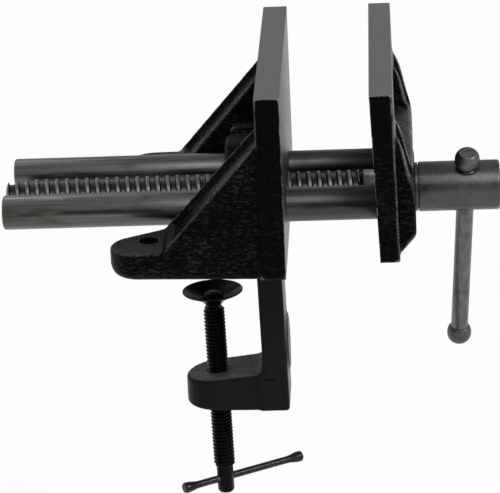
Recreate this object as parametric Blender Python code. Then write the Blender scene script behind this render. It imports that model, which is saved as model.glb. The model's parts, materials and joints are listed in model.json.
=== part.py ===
"""Clamp-on woodworking vise: two cast jaws on twin guide rods, a trapezoidal main
screw with a sliding handle bar, and a cast-in bench clamp with its own screw.

Lengths are metres. Z is up, X runs along the guide rods towards the handle, and
Y runs along the jaws. The origin lies on the seat that rests on the bench top.
"""
import math

import bmesh
import bpy
from mathutils import Matrix, Vector

# Fits between pieces.
running_gap = 0.0003
cut_overrun = 0.0020
join_depth = 0.0030

# Fixed jaw plate. The seat point lies jaw_setback behind its clamping face.
jaw_setback = 0.0220
jaw_width = 0.1500
fixed_jaw_height = 0.0824
fixed_plate_thickness = 0.0110
plate_edge_bevel = 0.0006

# Guide rods and their bosses behind the fixed jaw.
rod_radius = 0.0077
rod_half_spacing = 0.02665
rod_height = 0.0184
rod_tail_reach = 0.1276
rod_end_chamfer = 0.0009
rod_boss_radius = 0.0155
boss_reach = 0.0293
boss_edge_chamfer = 0.0010
boss_web_side = 0.0330
boss_web_reach = 0.0273
boss_web_top = 0.0362
boss_web_bevel = 0.0012

# Gussets and screw-down lugs of the fixed jaw.
lug_thickness = 0.0131
lug_side = 0.0732
lug_tip_reach = 0.0774
lug_tip_radius = 0.0129
lug_inner_side = 0.0345
lug_flank_reach = 0.0470
lug_tip_round = 0.0070
lug_top_round = 0.0008
lug_hole_radius = 0.0046
lug_hole_inset = 0.0168
lug_hole_margin = 0.0183
gusset_rise = 0.0614
gusset_foot_reach = 0.0540
gusset_head_side = 0.0742
gusset_inner_top = 0.0420
gusset_inner_foot = 0.0368
gusset_rim = 0.0034
gusset_channel_depth = 0.0011
gusset_channel_start_share = 0.06
gusset_channel_end_share = 0.90
gusset_bevel = 0.0009

# Clamp frame: column, arm and the blank round pad on the column's outer face.
column_back_reach = 0.0160
column_face_reach = 0.0045
clamp_frame_lean = math.radians(1.1)
column_half_width = 0.0160
column_bevel = 0.0008
column_fillet = 0.0040
arm_fillet = 0.0026
arm_top_depth = 0.0705
arm_height = 0.0154
arm_top_slope_share = 0.100
arm_bottom_slope_share = 0.010
arm_tip_radius = 0.0147
arm_edge_round = 0.0014
clamp_axis_reach = 0.0362
face_pad_radius = 0.0130
face_pad_height = 0.0011
face_pad_depth = 0.0572
face_pad_chamfer = 0.0005

# Main nut and its set screw.
nut_radius = 0.0126
nut_length = 0.0160
nut_stand_out = 0.0008
nut_chamfer = 0.0006
nut_housing_radius = 0.0150
set_screw_radius = 0.0030
set_screw_socket_radius = 0.0015
set_screw_socket_depth = 0.0018
set_screw_recess = 0.0008
nut_spot_depth = 0.0020

# Moving jaw, at the photographed opening between the tops of the clamping faces.
jaw_opening = 0.0384
moving_jaw_height = 0.0825
moving_jaw_foot = 0.0063
moving_plate_top_thickness = 0.0101
moving_plate_foot_thickness = 0.0088
moving_face_lean = 0.0029
rib_inner_side = 0.0400
rib_outer_side = 0.0660
rib_rise = 0.0622
rib_knee_height = 0.0152
rib_foot_height = 0.0070
rib_face_reach = 0.0574
rib_bevel = 0.0010
rib_rim = 0.0032
rib_channel_depth = 0.0010
block_face_reach = 0.0570
block_top = 0.0418
block_foot = 0.0084
block_round = 0.0050
hub_boss_radius = 0.0146
hub_boss_face_reach = 0.0576
hub_boss_recess = 0.0004
rod_pin_radius = 0.0020
rod_pin_reach = 0.0535
rod_pin_depth = 0.0200
rod_pin_recess = 0.0008
rod_pin_chamfer = 0.0004

# Main screw, its hub, washer and collar.
screw_drop = 0.0023
screw_radius = 0.0085
screw_pitch = 0.0046
thread_depth = 0.0022
screw_tail_reach = 0.1288
thread_end_reach = 0.0335
thread_run_out = 0.0040
spigot_radius = 0.0064
spigot_length = 0.0116
washer_radius = 0.0111
washer_thickness = 0.0010
hub_radius = 0.01136
hub_length = 0.0369
hub_chamfer = 0.0010
hub_pin_radius = 0.0020
hub_pin_length = 0.0140
hub_pin_offset = 0.0058
hub_pin_angle = math.radians(220.0)
pin_recess = 0.0004
collar_radius = 0.0124
collar_length = 0.0044
collar_chamfer = 0.0005
collar_pin_radius = 0.0014
collar_pin_angle = math.radians(20.0)
counterbore_depth = 0.0062

# Handle bar through the hub.
bar_radius = 0.0040
bar_hole_radius = 0.0047
bar_station = 0.0216
bar_tilt = math.radians(23.0)
bar_lean = math.radians(2.4)
bar_lower_reach = 0.0928
knob_radius = 0.0057
knob_end_radius = 0.0039
knob_length = 0.0087
knob_seat = 0.0005
tenon_radius = 0.0026
tenon_length = 0.0070

# Bench clamp screw, swivel pad and tommy bar.
clamp_screw_radius = 0.00495
clamp_screw_pitch = 0.00176
clamp_thread_depth = 0.00095
clamp_thread_top_depth = 0.0393
clamp_thread_end_depth = 0.1192
clamp_run_out = 0.0013
clamp_pin_radius = 0.0039
clamp_pin_end_depth = 0.1326
pin_dome_height = 0.0016
pad_radius = 0.0140
pad_rim_depth = 0.0310
pad_height = 0.0068
pad_neck_radius = 0.0040
pad_bore_radius = 0.0028
pad_floor_depth_share = 0.62
keeper_radius = 0.0048
keeper_height = 0.0029
tommy_radius = 0.00172
tommy_depth = 0.1253
tommy_short_reach = 0.0222
tommy_long_reach = 0.0412
tommy_angle = math.radians(31.0)
tommy_end_radius = 0.00255
tommy_end_length = 0.0066
tommy_tenon_radius = 0.0011
tommy_tenon_length = 0.0042
tommy_end_chamfer = 0.0007

# Facet counts.
round_sides = 32
small_sides = 20
main_thread_sides = 14
clamp_thread_sides = 12

# Positions that follow from the sizes above.
face_x = jaw_setback
back_x = face_x - fixed_plate_thickness
screw_z = rod_height - screw_drop
half_jaw = jaw_width / 2
moving_x = face_x + jaw_opening
clamp_x = face_x - clamp_axis_reach
boss_x = face_x - boss_reach
lug_hole_reach = lug_tip_reach - lug_hole_inset
lug_hole_side = lug_side - lug_hole_margin
arm_bottom_depth = arm_top_depth + arm_height
block_x = face_x + block_face_reach
washer_x = face_x + hub_boss_face_reach + running_gap
hub_x = washer_x + washer_thickness + running_gap
bar_x = hub_x + bar_station
bar_upper_reach = hub_radius - knob_seat + knob_length / 2
spigot_end_x = hub_x + spigot_length
merge_distance = running_gap / 300
flat_angle = math.radians(0.1)


def clear_scene():
    for item in list(bpy.data.objects):
        bpy.data.objects.remove(item, do_unlink=True)


def from_bmesh(name, shape):
    bmesh.ops.remove_doubles(shape, verts=shape.verts, dist=merge_distance)
    bmesh.ops.recalc_face_normals(shape, faces=shape.faces)
    data = bpy.data.meshes.new(name)
    shape.to_mesh(data)
    shape.free()
    item = bpy.data.objects.new(name, data)
    bpy.context.scene.collection.objects.link(item)
    return item


def stack(name, rings):
    """Closed skin over a list of point rings of equal length, capped at both ends."""
    shape = bmesh.new()
    rows = [[shape.verts.new(point) for point in ring] for ring in rings]
    count = len(rows[0])
    for low, high in zip(rows, rows[1:]):
        for step in range(count):
            after = (step + 1) % count
            shape.faces.new((low[step], low[after], high[after], high[step]))
    shape.faces.new(rows[0])
    shape.faces.new(rows[-1])
    return from_bmesh(name, shape)


def prism(name, outline, axis, start, stop):
    """Outline pairs are (x, z) for axis Y, (x, y) for axis Z and (y, z) for axis X."""
    def place(pair, along):
        if axis == "X":
            return (along, pair[0], pair[1])
        if axis == "Y":
            return (pair[0], along, pair[1])
        return (pair[0], pair[1], along)
    return stack(name, [[place(pair, along) for pair in outline] for along in (start, stop)])


def arc(centre, radius, first, last, steps):
    points = []
    for step in range(steps + 1):
        angle = first + (last - first) * step / steps
        points.append((centre[0] + radius * math.cos(angle), centre[1] + radius * math.sin(angle)))
    return points


def side_frame(direction):
    """Two unit vectors square to the direction, fixed for a given direction."""
    along = Vector(direction).normalized()
    guide = Vector((0, 0, 1)) if abs(along.z) < abs(along.x) + abs(along.y) else Vector((1, 0, 0))
    first = guide.cross(along).normalized()
    return along, first, along.cross(first)


def turned(name, profile, origin, direction, sides):
    """Solid of revolution. The profile runs from one end to the other as (along, radius)."""
    along, first, second = side_frame(direction)
    base = Vector(origin)
    shape = bmesh.new()
    rows = []
    for distance, radius in profile:
        if radius == 0:
            rows.append([shape.verts.new(base + along * distance)])
            continue
        row = []
        for step in range(sides):
            angle = 2 * math.pi * step / sides
            spoke = first * math.cos(angle) + second * math.sin(angle)
            row.append(shape.verts.new(base + along * distance + spoke * radius))
        rows.append(row)
    for low, high in zip(rows, rows[1:]):
        for step in range(sides):
            after = (step + 1) % sides
            if len(low) == 1:
                shape.faces.new((low[0], high[after], high[step]))
            elif len(high) == 1:
                shape.faces.new((low[step], low[after], high[0]))
            else:
                shape.faces.new((low[step], low[after], high[after], high[step]))
    for end in (rows[0], rows[-1]):
        if len(end) > 1:
            shape.faces.new(end)
    return from_bmesh(name, shape)


def tube(name, profile, origin, direction, sides):
    """Ring of revolution. The profile is a closed loop of (along, radius) pairs."""
    along, first, second = side_frame(direction)
    base = Vector(origin)
    shape = bmesh.new()
    rows = []
    for step in range(sides):
        angle = 2 * math.pi * step / sides
        spoke = first * math.cos(angle) + second * math.sin(angle)
        rows.append([shape.verts.new(base + along * far + spoke * radius) for far, radius in profile])
    count = len(profile)
    for step in range(sides):
        here = rows[step]
        there = rows[(step + 1) % sides]
        for place in range(count):
            after = (place + 1) % count
            shape.faces.new((here[place], here[after], there[after], there[place]))
    return from_bmesh(name, shape)


def around(radius, sides):
    """Radius that a faceted hole needs so that its flats clear the given radius."""
    return radius / math.cos(math.pi / sides)


def drill(name, origin, direction, length, radius, sides):
    return turned(name, [(0, around(radius, sides)), (length, around(radius, sides))], origin, direction, sides)


lug_round_shares = ((0.00, 0.62), (0.07, 0.42), (0.22, 0.22), (0.48, 0.07), (0.80, 0.00))
edge_round_shares = ((0.00, 1.00), (0.30, 0.32), (1.00, 0.00))
square_thread_shares = ((0.00, 0.0), (0.18, 1.0), (0.50, 1.0), (0.68, 0.0))
vee_thread_shares = ((0.00, 0.0), (0.50, 1.0))


def threaded(name, start, direction, length, size, shares, sides, before, after):
    """Right-hand screw thread with run-outs, between plain turned ends.

    size holds the crest radius, thread depth, pitch and run-out length. before and
    after are (along, radius) pairs, measured from the start point.
    """
    crest, depth, pitch, run_out = size
    along, first, second = side_frame(direction)
    base = Vector(start)
    root = crest - depth
    shape = bmesh.new()
    per_turn = len(shares)
    turns = math.ceil(length / pitch) + 2
    grid = []
    for step in range(sides):
        angle = 2 * math.pi * step / sides
        spoke = first * math.cos(angle) + second * math.sin(angle)
        column = []
        for row in range(turns * per_turn):
            turn, place = divmod(row, per_turn)
            share, height = shares[place]
            reach = (turn - 1 + share + step / sides) * pitch
            fade = min(1.0, max(0.0, reach / run_out), max(0.0, (length - reach) / run_out))
            reach = min(length, max(0, reach))
            radius = root + depth * height * fade
            column.append(shape.verts.new(base + along * reach + spoke * radius))
        grid.append(column)
    last = turns * per_turn
    for step in range(sides):
        here = grid[step]
        there = grid[(step + 1) % sides]
        shift = per_turn if step == sides - 1 else 0
        for row in range(last - 1 - shift):
            if shift:
                shape.faces.new((here[row], here[row + 1], there[row + 1 + shift], there[row + shift]))
            else:
                shape.faces.new((here[row], here[row + 1], there[row + 1], there[row]))
    bmesh.ops.remove_doubles(shape, verts=shape.verts, dist=merge_distance)
    loose = [edge for edge in shape.edges if not edge.link_faces]
    bmesh.ops.delete(shape, geom=loose, context="EDGES")
    spare = [vert for vert in shape.verts if not vert.link_edges]
    bmesh.ops.delete(shape, geom=spare, context="VERTS")

    def end_loop(reach):
        found = []
        for step in range(sides):
            angle = 2 * math.pi * step / sides
            spoke = first * math.cos(angle) + second * math.sin(angle)
            spot = base + along * reach + spoke * root
            found.append(min(shape.verts, key=lambda vert: (vert.co - spot).length))
        return found

    for pairs, reach in ((before, 0), (after, length)):
        row = end_loop(reach)
        for distance, radius in pairs:
            fresh = []
            for step in range(sides):
                angle = 2 * math.pi * step / sides
                spoke = first * math.cos(angle) + second * math.sin(angle)
                fresh.append(shape.verts.new(base + along * distance + spoke * radius))
            for step in range(sides):
                following = (step + 1) % sides
                shape.faces.new((row[step], row[following], fresh[following], fresh[step]))
            row = fresh
        shape.faces.new(row)
    return from_bmesh(name, shape)


def settle(item):
    """Replace an object's mesh with its evaluated form and drop its modifiers."""
    bpy.context.view_layer.update()
    graph = bpy.context.evaluated_depsgraph_get()
    data = bpy.data.meshes.new_from_object(item.evaluated_get(graph))
    item.modifiers.clear()
    item.data = data
    return item


def bevelled(item, width, segments=1):
    change = item.modifiers.new("bevel", "BEVEL")
    change.width = width
    change.segments = segments
    change.limit_method = "ANGLE"
    change.angle_limit = math.radians(35.0)
    return settle(item)


def combined(item, others, operation):
    """Join the others to the item, or cut them from it, in one step."""
    group = bpy.data.collections.new("step")
    for other in others:
        group.objects.link(other)
    for piece in [item] + others:
        shape = bmesh.new()
        shape.from_mesh(piece.data)
        bmesh.ops.triangulate(shape, faces=shape.faces)
        shape.to_mesh(piece.data)
        shape.free()
    change = item.modifiers.new("step", "BOOLEAN")
    change.operation = operation
    change.solver = "EXACT"
    change.operand_type = "COLLECTION"
    change.collection = group
    settle(item)
    for other in others:
        bpy.data.objects.remove(other, do_unlink=True)
    bpy.data.collections.remove(group)
    shape = bmesh.new()
    shape.from_mesh(item.data)
    bmesh.ops.dissolve_limit(shape, angle_limit=flat_angle, verts=shape.verts, edges=shape.edges)
    shape.to_mesh(item.data)
    shape.free()
    return item


def joined(item, others):
    return combined(item, others, "UNION")


def cut(item, others):
    return combined(item, others, "DIFFERENCE")


def finished(item, name, origin, colour, roughness, metallic):
    """Clean the mesh, name it, put its origin on its joint axis and give it its material."""
    shape = bmesh.new()
    shape.from_mesh(item.data)
    bmesh.ops.remove_doubles(shape, verts=shape.verts, dist=merge_distance)
    bmesh.ops.dissolve_degenerate(shape, edges=shape.edges, dist=merge_distance)
    bmesh.ops.recalc_face_normals(shape, faces=shape.faces)
    bmesh.ops.transform(shape, matrix=Matrix.Translation(-Vector(origin)), verts=shape.verts)
    shape.to_mesh(item.data)
    shape.free()
    item.location = origin
    item.name = name
    item.data.name = name
    paint = bpy.data.materials.new(name)
    paint.use_nodes = True
    surface = paint.node_tree.nodes["Principled BSDF"]
    surface.inputs["Base Color"].default_value = (*colour, 1.0)
    surface.inputs["Roughness"].default_value = roughness
    surface.inputs["Metallic"].default_value = metallic
    item.data.materials.clear()
    item.data.materials.append(paint)
    item.data.set_sharp_from_angle(angle=math.radians(30.0))
    return item


enamel = ((0.012, 0.012, 0.013), 0.35, 0.0)
turned_steel = ((0.33, 0.32, 0.31), 0.36, 1.0)
dark_steel = ((0.06, 0.06, 0.062), 0.40, 1.0)
bronze = ((0.45, 0.30, 0.13), 0.40, 1.0)


def gusset_side(height, inset):
    """Distance of a gusset's inner wall from the middle, which spreads towards the foot."""
    share = (gusset_rise - height) / (gusset_rise - lug_thickness)
    return gusset_inner_top + (gusset_inner_foot - gusset_inner_top) * share + inset


def gusset_outer(x):
    """Distance of a gusset's outer wall from the middle, narrowing towards the lug's tip."""
    share = (back_x - x) / (gusset_foot_reach - fixed_plate_thickness)
    return gusset_head_side + (lug_side - gusset_head_side) * share


def gusset(side):
    slope = (gusset_rise - lug_thickness) / (gusset_foot_reach - fixed_plate_thickness)
    inside_x = back_x + join_depth
    outline = [
        (face_x - gusset_foot_reach, lug_thickness),
        (inside_x, gusset_rise + join_depth * slope),
        (inside_x, lug_thickness / 2),
        (face_x - gusset_foot_reach, lug_thickness / 2),
    ]
    inner = [(x, side * gusset_side(z, 0), z) for x, z in outline]
    outer = [(x, side * gusset_outer(x), z) for x, z in outline]
    body = bevelled(stack("gusset", [inner, outer]), gusset_bevel)
    run = Vector((back_x - face_x + gusset_foot_reach, 0, gusset_rise - lug_thickness))
    foot = Vector((face_x - gusset_foot_reach, 0, lug_thickness))
    square = Vector((-run.z, 0, run.x)).normalized()
    low = foot + run * (1 - gusset_channel_end_share)
    high = foot + run * (1 - gusset_channel_start_share)
    corners = [
        low - square * gusset_channel_depth,
        high - square * gusset_channel_depth,
        high + square * cut_overrun,
        low + square * cut_overrun,
    ]
    near = [(spot.x, side * gusset_side(spot.z, gusset_rim), spot.z) for spot in corners]
    far = [(spot.x, side * (gusset_outer(spot.x) - gusset_rim), spot.z) for spot in corners]
    return body, stack("channel", [near, far])


def lug(side):
    """Screw-down lug with a round tip, and the cutter for its hole."""
    centre_x = face_x - lug_tip_reach + lug_tip_radius
    centre_y = lug_side - lug_tip_radius
    flank_x = face_x - lug_flank_reach
    run = Vector((flank_x - centre_x, lug_inner_side - centre_y))
    turn = math.atan2(run.y, run.x) - math.acos(lug_tip_radius / run.length)
    tip = arc((centre_x, centre_y), lug_tip_radius, math.pi / 2, 2 * math.pi + turn, 14)
    inside_x = back_x + join_depth
    outline = [(inside_x, lug_side)] + tip + [(flank_x, lug_inner_side), (inside_x, lug_inner_side)]

    def drawn_in(amount):
        """Outline drawn in round the tip, and not at all at the jaw."""
        moved = []
        for x, y in outline:
            share = min(1.0, max(0.0, (flank_x - x) / (flank_x - centre_x)))
            away = Vector((x - centre_x, y - centre_y)).normalized() * (amount * share)
            moved.append((x - away.x, y - away.y))
        return moved

    levels = [(lug_tip_round * up, lug_tip_round * back) for up, back in lug_round_shares]
    levels += [(lug_thickness - lug_top_round, 0), (lug_thickness, lug_top_round)]
    rings = [[(x, side * y, level) for x, y in drawn_in(amount)] for level, amount in levels]
    hole = drill(
        "hole",
        (face_x - lug_hole_reach, side * lug_hole_side, -cut_overrun),
        (0, 0, 1),
        lug_thickness + 2 * cut_overrun,
        lug_hole_radius,
        small_sides,
    )
    return stack("lug", rings), hole


def boss_web(side):
    """Web between a rod boss and its gusset."""
    inside_x = back_x + join_depth
    start_x = face_x - boss_web_reach
    outline = [
        (start_x, lug_thickness / 2),
        (inside_x, lug_thickness / 2),
        (inside_x, boss_web_top),
        (start_x, boss_web_top),
    ]
    low = min(side * boss_web_side, side * (gusset_inner_top + join_depth))
    high = max(side * boss_web_side, side * (gusset_inner_top + join_depth))
    return bevelled(prism("web", outline, "Y", low, high), boss_web_bevel)


def frame_x(x, z):
    """X of a point of the clamp frame, which leans outwards as it goes down."""
    return x - z * math.tan(clamp_frame_lean)


def clamp_direction():
    """Unit vector along the clamp screw, from its foot to its pad."""
    return Vector((-math.sin(clamp_frame_lean), 0, math.cos(clamp_frame_lean)))


def clamp_point(z):
    """Point of the clamp screw's axis at a height."""
    drop = z + arm_top_depth
    return Vector((clamp_x - drop * math.tan(clamp_frame_lean), 0, z))


def clamp_frame():
    """Column under the jaw plate and the arm that carries the clamp screw."""
    left = face_x - column_back_reach
    right = face_x - column_face_reach
    top = join_depth
    inner_top = -arm_top_depth + arm_top_slope_share * (clamp_axis_reach - column_back_reach)
    base = -arm_bottom_depth - arm_bottom_slope_share * (clamp_axis_reach - column_face_reach)
    upper = arc((left - column_fillet, -column_fillet), column_fillet, math.pi / 2, 0, 4)
    lower = arc((left - arm_fillet, inner_top + arm_fillet), arm_fillet, 0, -math.pi / 2, 3)
    outline = [(left - column_fillet, top)] + upper + lower
    outline += [(left - arm_fillet, base), (right, base), (right, top)]
    leaning = [(frame_x(x, z), z) for x, z in outline]
    column = prism("column", leaning, "Y", -column_half_width, column_half_width)
    bevelled(column, column_bevel)
    joint_x = frame_x(left, inner_top) + join_depth
    tip = arc((clamp_x, 0), arm_tip_radius, math.pi / 2, 3 * math.pi / 2, 14)
    wide = column_half_width - column_bevel * 1.5
    plan = [(joint_x, wide)] + tip + [(joint_x, -wide)]

    def ring(draw, rise):
        """Plan drawn in by draw round the tip, at a share of the arm's depth."""
        points = []
        for x, y in plan:
            scale = (arm_tip_radius - draw) / arm_tip_radius if x < joint_x else 1.0
            along = clamp_x + (x - clamp_x) * scale
            foot = -arm_bottom_depth + arm_bottom_slope_share * (clamp_x - along)
            head = -arm_top_depth + arm_top_slope_share * (along - clamp_x)
            points.append((along, y * scale, foot + (head - foot) * rise))
        return points

    depth = arm_bottom_depth - arm_top_depth
    edge = arm_edge_round / depth
    rings = [ring(arm_edge_round * back, edge * up) for up, back in edge_round_shares]
    rings += [ring(arm_edge_round * back, 1 - edge * up) for up, back in reversed(edge_round_shares)]
    arm = stack("arm", rings)
    face_pad = turned(
        "face pad",
        [
            (-join_depth, face_pad_radius),
            (face_pad_height - face_pad_chamfer, face_pad_radius),
            (face_pad_height, face_pad_radius - face_pad_chamfer),
        ],
        (frame_x(right, -face_pad_depth), 0, -face_pad_depth),
        (math.cos(clamp_frame_lean), 0, math.sin(clamp_frame_lean)),
        round_sides,
    )
    bore = drill(
        "bore",
        clamp_point(base - 2 * cut_overrun),
        clamp_direction(),
        inner_top - base + 4 * cut_overrun,
        clamp_screw_radius + running_gap,
        small_sides,
    )
    return [column, arm, face_pad], bore


def build_fixed_jaw():
    outline = [(back_x, 0), (face_x, 0), (face_x, fixed_jaw_height), (back_x, fixed_jaw_height)]
    body = bevelled(prism("plate", outline, "Y", -half_jaw, half_jaw), plate_edge_bevel)
    inside_x = back_x + join_depth
    floor_side = lug_inner_side + join_depth
    floor = [(boss_x, 0), (inside_x, 0), (inside_x, lug_thickness), (boss_x, lug_thickness)]
    added = [prism("floor", floor, "Y", -floor_side, floor_side)]
    removed = []
    for side in (-1, 1):
        strip, channel = gusset(side)
        foot, hole = lug(side)
        boss = turned(
            "boss",
            [
                (0, rod_boss_radius - boss_edge_chamfer),
                (boss_edge_chamfer, rod_boss_radius),
                (inside_x - boss_x, rod_boss_radius),
            ],
            (boss_x, side * rod_half_spacing, rod_height),
            (1, 0, 0),
            round_sides,
        )
        bore = drill(
            "rod bore",
            (boss_x - cut_overrun, side * rod_half_spacing, rod_height),
            (1, 0, 0),
            boss_reach + 2 * cut_overrun,
            rod_radius + running_gap,
            round_sides,
        )
        added += [strip, foot, boss, boss_web(side)]
        removed += [channel, hole, bore]
    housing = turned(
        "nut housing",
        [
            (0, nut_housing_radius - boss_edge_chamfer),
            (boss_edge_chamfer, nut_housing_radius),
            (inside_x - boss_x, nut_housing_radius),
        ],
        (boss_x, 0, screw_z),
        (1, 0, 0),
        round_sides,
    )
    added.append(housing)
    frame_parts, clamp_bore = clamp_frame()
    added += frame_parts
    nut_pocket = drill(
        "nut pocket",
        (boss_x - cut_overrun, 0, screw_z),
        (1, 0, 0),
        nut_length + running_gap + cut_overrun,
        nut_radius + running_gap,
        round_sides,
    )
    screw_way = drill(
        "screw way",
        (boss_x, 0, screw_z),
        (1, 0, 0),
        boss_reach + cut_overrun,
        screw_radius + 2 * running_gap,
        round_sides,
    )
    set_hole = drill(
        "set screw hole",
        (boss_x + nut_length / 2, 0, screw_z + nut_housing_radius + cut_overrun),
        (0, 0, -1),
        cut_overrun + nut_housing_radius - nut_radius + nut_spot_depth,
        set_screw_radius + running_gap,
        small_sides,
    )
    removed += [clamp_bore, nut_pocket, screw_way, set_hole]
    joined(body, added)
    cut(body, removed)
    return finished(body, "fixed_jaw", (0, 0, 0), *enamel)


def build_nut():
    start = boss_x - nut_stand_out
    body = turned(
        "nut",
        [
            (0, nut_radius - nut_chamfer),
            (nut_chamfer, nut_radius),
            (nut_length - nut_chamfer, nut_radius),
            (nut_length, nut_radius - nut_chamfer),
        ],
        (start, 0, screw_z),
        (1, 0, 0),
        round_sides,
    )
    bore = drill(
        "nut bore",
        (start - cut_overrun, 0, screw_z),
        (1, 0, 0),
        nut_length + 2 * cut_overrun,
        screw_radius + running_gap,
        round_sides,
    )
    spot = drill(
        "spot",
        (boss_x + nut_length / 2, 0, screw_z + nut_radius + cut_overrun),
        (0, 0, -1),
        cut_overrun + nut_spot_depth,
        set_screw_radius + running_gap,
        small_sides,
    )
    cut(body, [bore, spot])
    return finished(body, "main_nut", (start, 0, screw_z), *bronze)


def build_set_screw():
    spot = (boss_x + nut_length / 2, 0, screw_z + nut_housing_radius - set_screw_recess)
    length = nut_housing_radius - set_screw_recess - nut_radius + nut_spot_depth - running_gap
    body = turned(
        "set screw",
        [
            (0, set_screw_radius - rod_pin_chamfer),
            (rod_pin_chamfer, set_screw_radius),
            (length - rod_pin_chamfer, set_screw_radius),
            (length, set_screw_radius - rod_pin_chamfer),
        ],
        spot,
        (0, 0, -1),
        small_sides,
    )
    socket = turned(
        "socket",
        [(-cut_overrun, set_screw_socket_radius), (set_screw_socket_depth, set_screw_socket_radius)],
        spot,
        (0, 0, -1),
        6,
    )
    cut(body, [socket])
    return finished(body, "nut_set_screw", spot, *dark_steel)


rib_shares = (
    (0.000, 1.000),
    (0.245, 0.925),
    (0.400, 0.850),
    (0.520, 0.765),
    (0.625, 0.680),
    (0.755, 0.580),
    (0.875, 0.495),
    (0.965, 0.420),
    (1.000, 0.340),
)


def moving_outer_x(height):
    """X of the moving plate's outer face at a height."""
    share = (moving_jaw_height - height) / (moving_jaw_height - moving_jaw_foot)
    top = jaw_opening + moving_plate_top_thickness
    foot = jaw_opening + moving_face_lean + moving_plate_foot_thickness
    return face_x + top + (foot - top) * share


def rib(side):
    """Tapered side rib on the outer face of the moving jaw, with a shallow channel."""
    start_x = moving_outer_x(rib_rise)
    face = face_x + rib_face_reach
    depth = face - start_x
    rise = rib_rise - rib_knee_height
    curve = [(start_x + depth * out, rib_knee_height + rise * up) for out, up in rib_shares]
    inside_x = start_x - join_depth
    outline = [(inside_x, rib_rise)] + curve
    outline += [(face, rib_knee_height), (moving_outer_x(rib_foot_height), rib_foot_height)]
    outline += [(inside_x, rib_foot_height)]
    low = min(side * rib_inner_side, side * rib_outer_side)
    high = max(side * rib_inner_side, side * rib_outer_side)
    body = bevelled(prism("rib", outline, "Y", low, high), rib_bevel)
    first = Vector((curve[2][0], 0, curve[2][1]))
    last = Vector((curve[-2][0], 0, curve[-2][1]))
    run = last - first
    square = Vector((-run.z, 0, run.x)).normalized()
    corners = [
        first - square * rib_channel_depth,
        last - square * rib_channel_depth,
        last + square * cut_overrun,
        first + square * cut_overrun,
    ]
    channel = prism("channel", [(spot.x, spot.z) for spot in corners], "Y", low + rib_rim, high - rib_rim)
    return body, channel


def build_moving_jaw():
    top_x = moving_x
    foot_x = moving_x + moving_face_lean
    outline = [
        (foot_x, moving_jaw_foot),
        (foot_x + moving_plate_foot_thickness, moving_jaw_foot),
        (top_x + moving_plate_top_thickness, moving_jaw_height),
        (top_x, moving_jaw_height),
    ]
    body = bevelled(prism("plate", outline, "Y", -half_jaw, half_jaw), plate_edge_bevel)
    inside_x = moving_outer_x(block_top) - join_depth
    corner = arc((block_x - block_round, block_top - block_round), block_round, 0, math.pi / 2, 5)
    block_outline = [(inside_x, block_foot), (block_x, block_foot)] + corner + [(inside_x, block_top)]
    block_side = rib_inner_side + join_depth
    added = [prism("block", block_outline, "Y", -block_side, block_side)]
    removed = []
    bore_start = moving_x - cut_overrun
    bore_length = block_x - moving_x + 3 * cut_overrun
    for side in (-1, 1):
        strip, channel = rib(side)
        added.append(strip)
        removed.append(channel)
        removed.append(drill(
            "rod socket",
            (bore_start, side * rod_half_spacing, rod_height),
            (1, 0, 0),
            bore_length,
            rod_radius + running_gap,
            round_sides,
        ))
        removed.append(drill(
            "pin hole",
            (face_x + rod_pin_reach, side * rod_half_spacing, block_foot - cut_overrun),
            (0, 0, 1),
            cut_overrun + rod_pin_recess + rod_pin_depth + running_gap,
            rod_pin_radius + running_gap,
            small_sides,
        ))
    boss_start = foot_x + hub_boss_recess
    boss_length = face_x + hub_boss_face_reach - boss_start
    added.append(turned(
        "hub boss",
        [
            (0, hub_boss_radius - pin_recess),
            (pin_recess, hub_boss_radius),
            (boss_length - pin_recess, hub_boss_radius),
            (boss_length, hub_boss_radius - pin_recess),
        ],
        (boss_start, 0, screw_z),
        (1, 0, 0),
        round_sides,
    ))
    removed.append(drill(
        "journal bore",
        (bore_start, 0, screw_z),
        (1, 0, 0),
        bore_length,
        screw_radius + running_gap,
        round_sides,
    ))
    removed.append(drill(
        "counterbore",
        (bore_start, 0, screw_z),
        (1, 0, 0),
        collar_face_x() + counterbore_depth - bore_start,
        collar_radius + 2 * running_gap,
        round_sides,
    ))
    joined(body, added)
    cut(body, removed)
    return finished(body, "moving_jaw", (moving_x, 0, screw_z), *enamel)


def collar_face_x():
    """X of the moving clamping face at the height of the main screw."""
    share = (moving_jaw_height - screw_z) / (moving_jaw_height - moving_jaw_foot)
    return moving_x + moving_face_lean * share


def build_rod(side, name):
    start = face_x - rod_tail_reach
    length = block_x - running_gap - start
    spot = (start, side * rod_half_spacing, rod_height)
    body = turned(
        "rod",
        [
            (0, rod_radius - rod_end_chamfer),
            (rod_end_chamfer, rod_radius),
            (length - rod_end_chamfer, rod_radius),
            (length, rod_radius - rod_end_chamfer),
        ],
        spot,
        (1, 0, 0),
        round_sides,
    )
    hole = drill(
        "pin hole",
        (face_x + rod_pin_reach, side * rod_half_spacing, rod_height - rod_radius - cut_overrun),
        (0, 0, 1),
        2 * rod_radius + 2 * cut_overrun,
        rod_pin_radius + running_gap,
        small_sides,
    )
    cut(body, [hole])
    return finished(body, name, spot, *turned_steel)


def build_rod_pin(side, name):
    spot = (face_x + rod_pin_reach, side * rod_half_spacing, block_foot + rod_pin_recess)
    body = turned(
        "rod pin",
        [
            (0, rod_pin_radius - rod_pin_chamfer),
            (rod_pin_chamfer, rod_pin_radius),
            (rod_pin_depth - rod_pin_chamfer, rod_pin_radius),
            (rod_pin_depth, rod_pin_radius - rod_pin_chamfer),
        ],
        spot,
        (0, 0, 1),
        small_sides,
    )
    return finished(body, name, spot, *dark_steel)


def collar_middle_x():
    return collar_face_x() + counterbore_depth - running_gap - collar_length / 2


def spoke(angle):
    """Unit vector square to the main screw, at an angle from straight up towards -Y."""
    return Vector((0, -math.sin(angle), math.cos(angle)))


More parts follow.
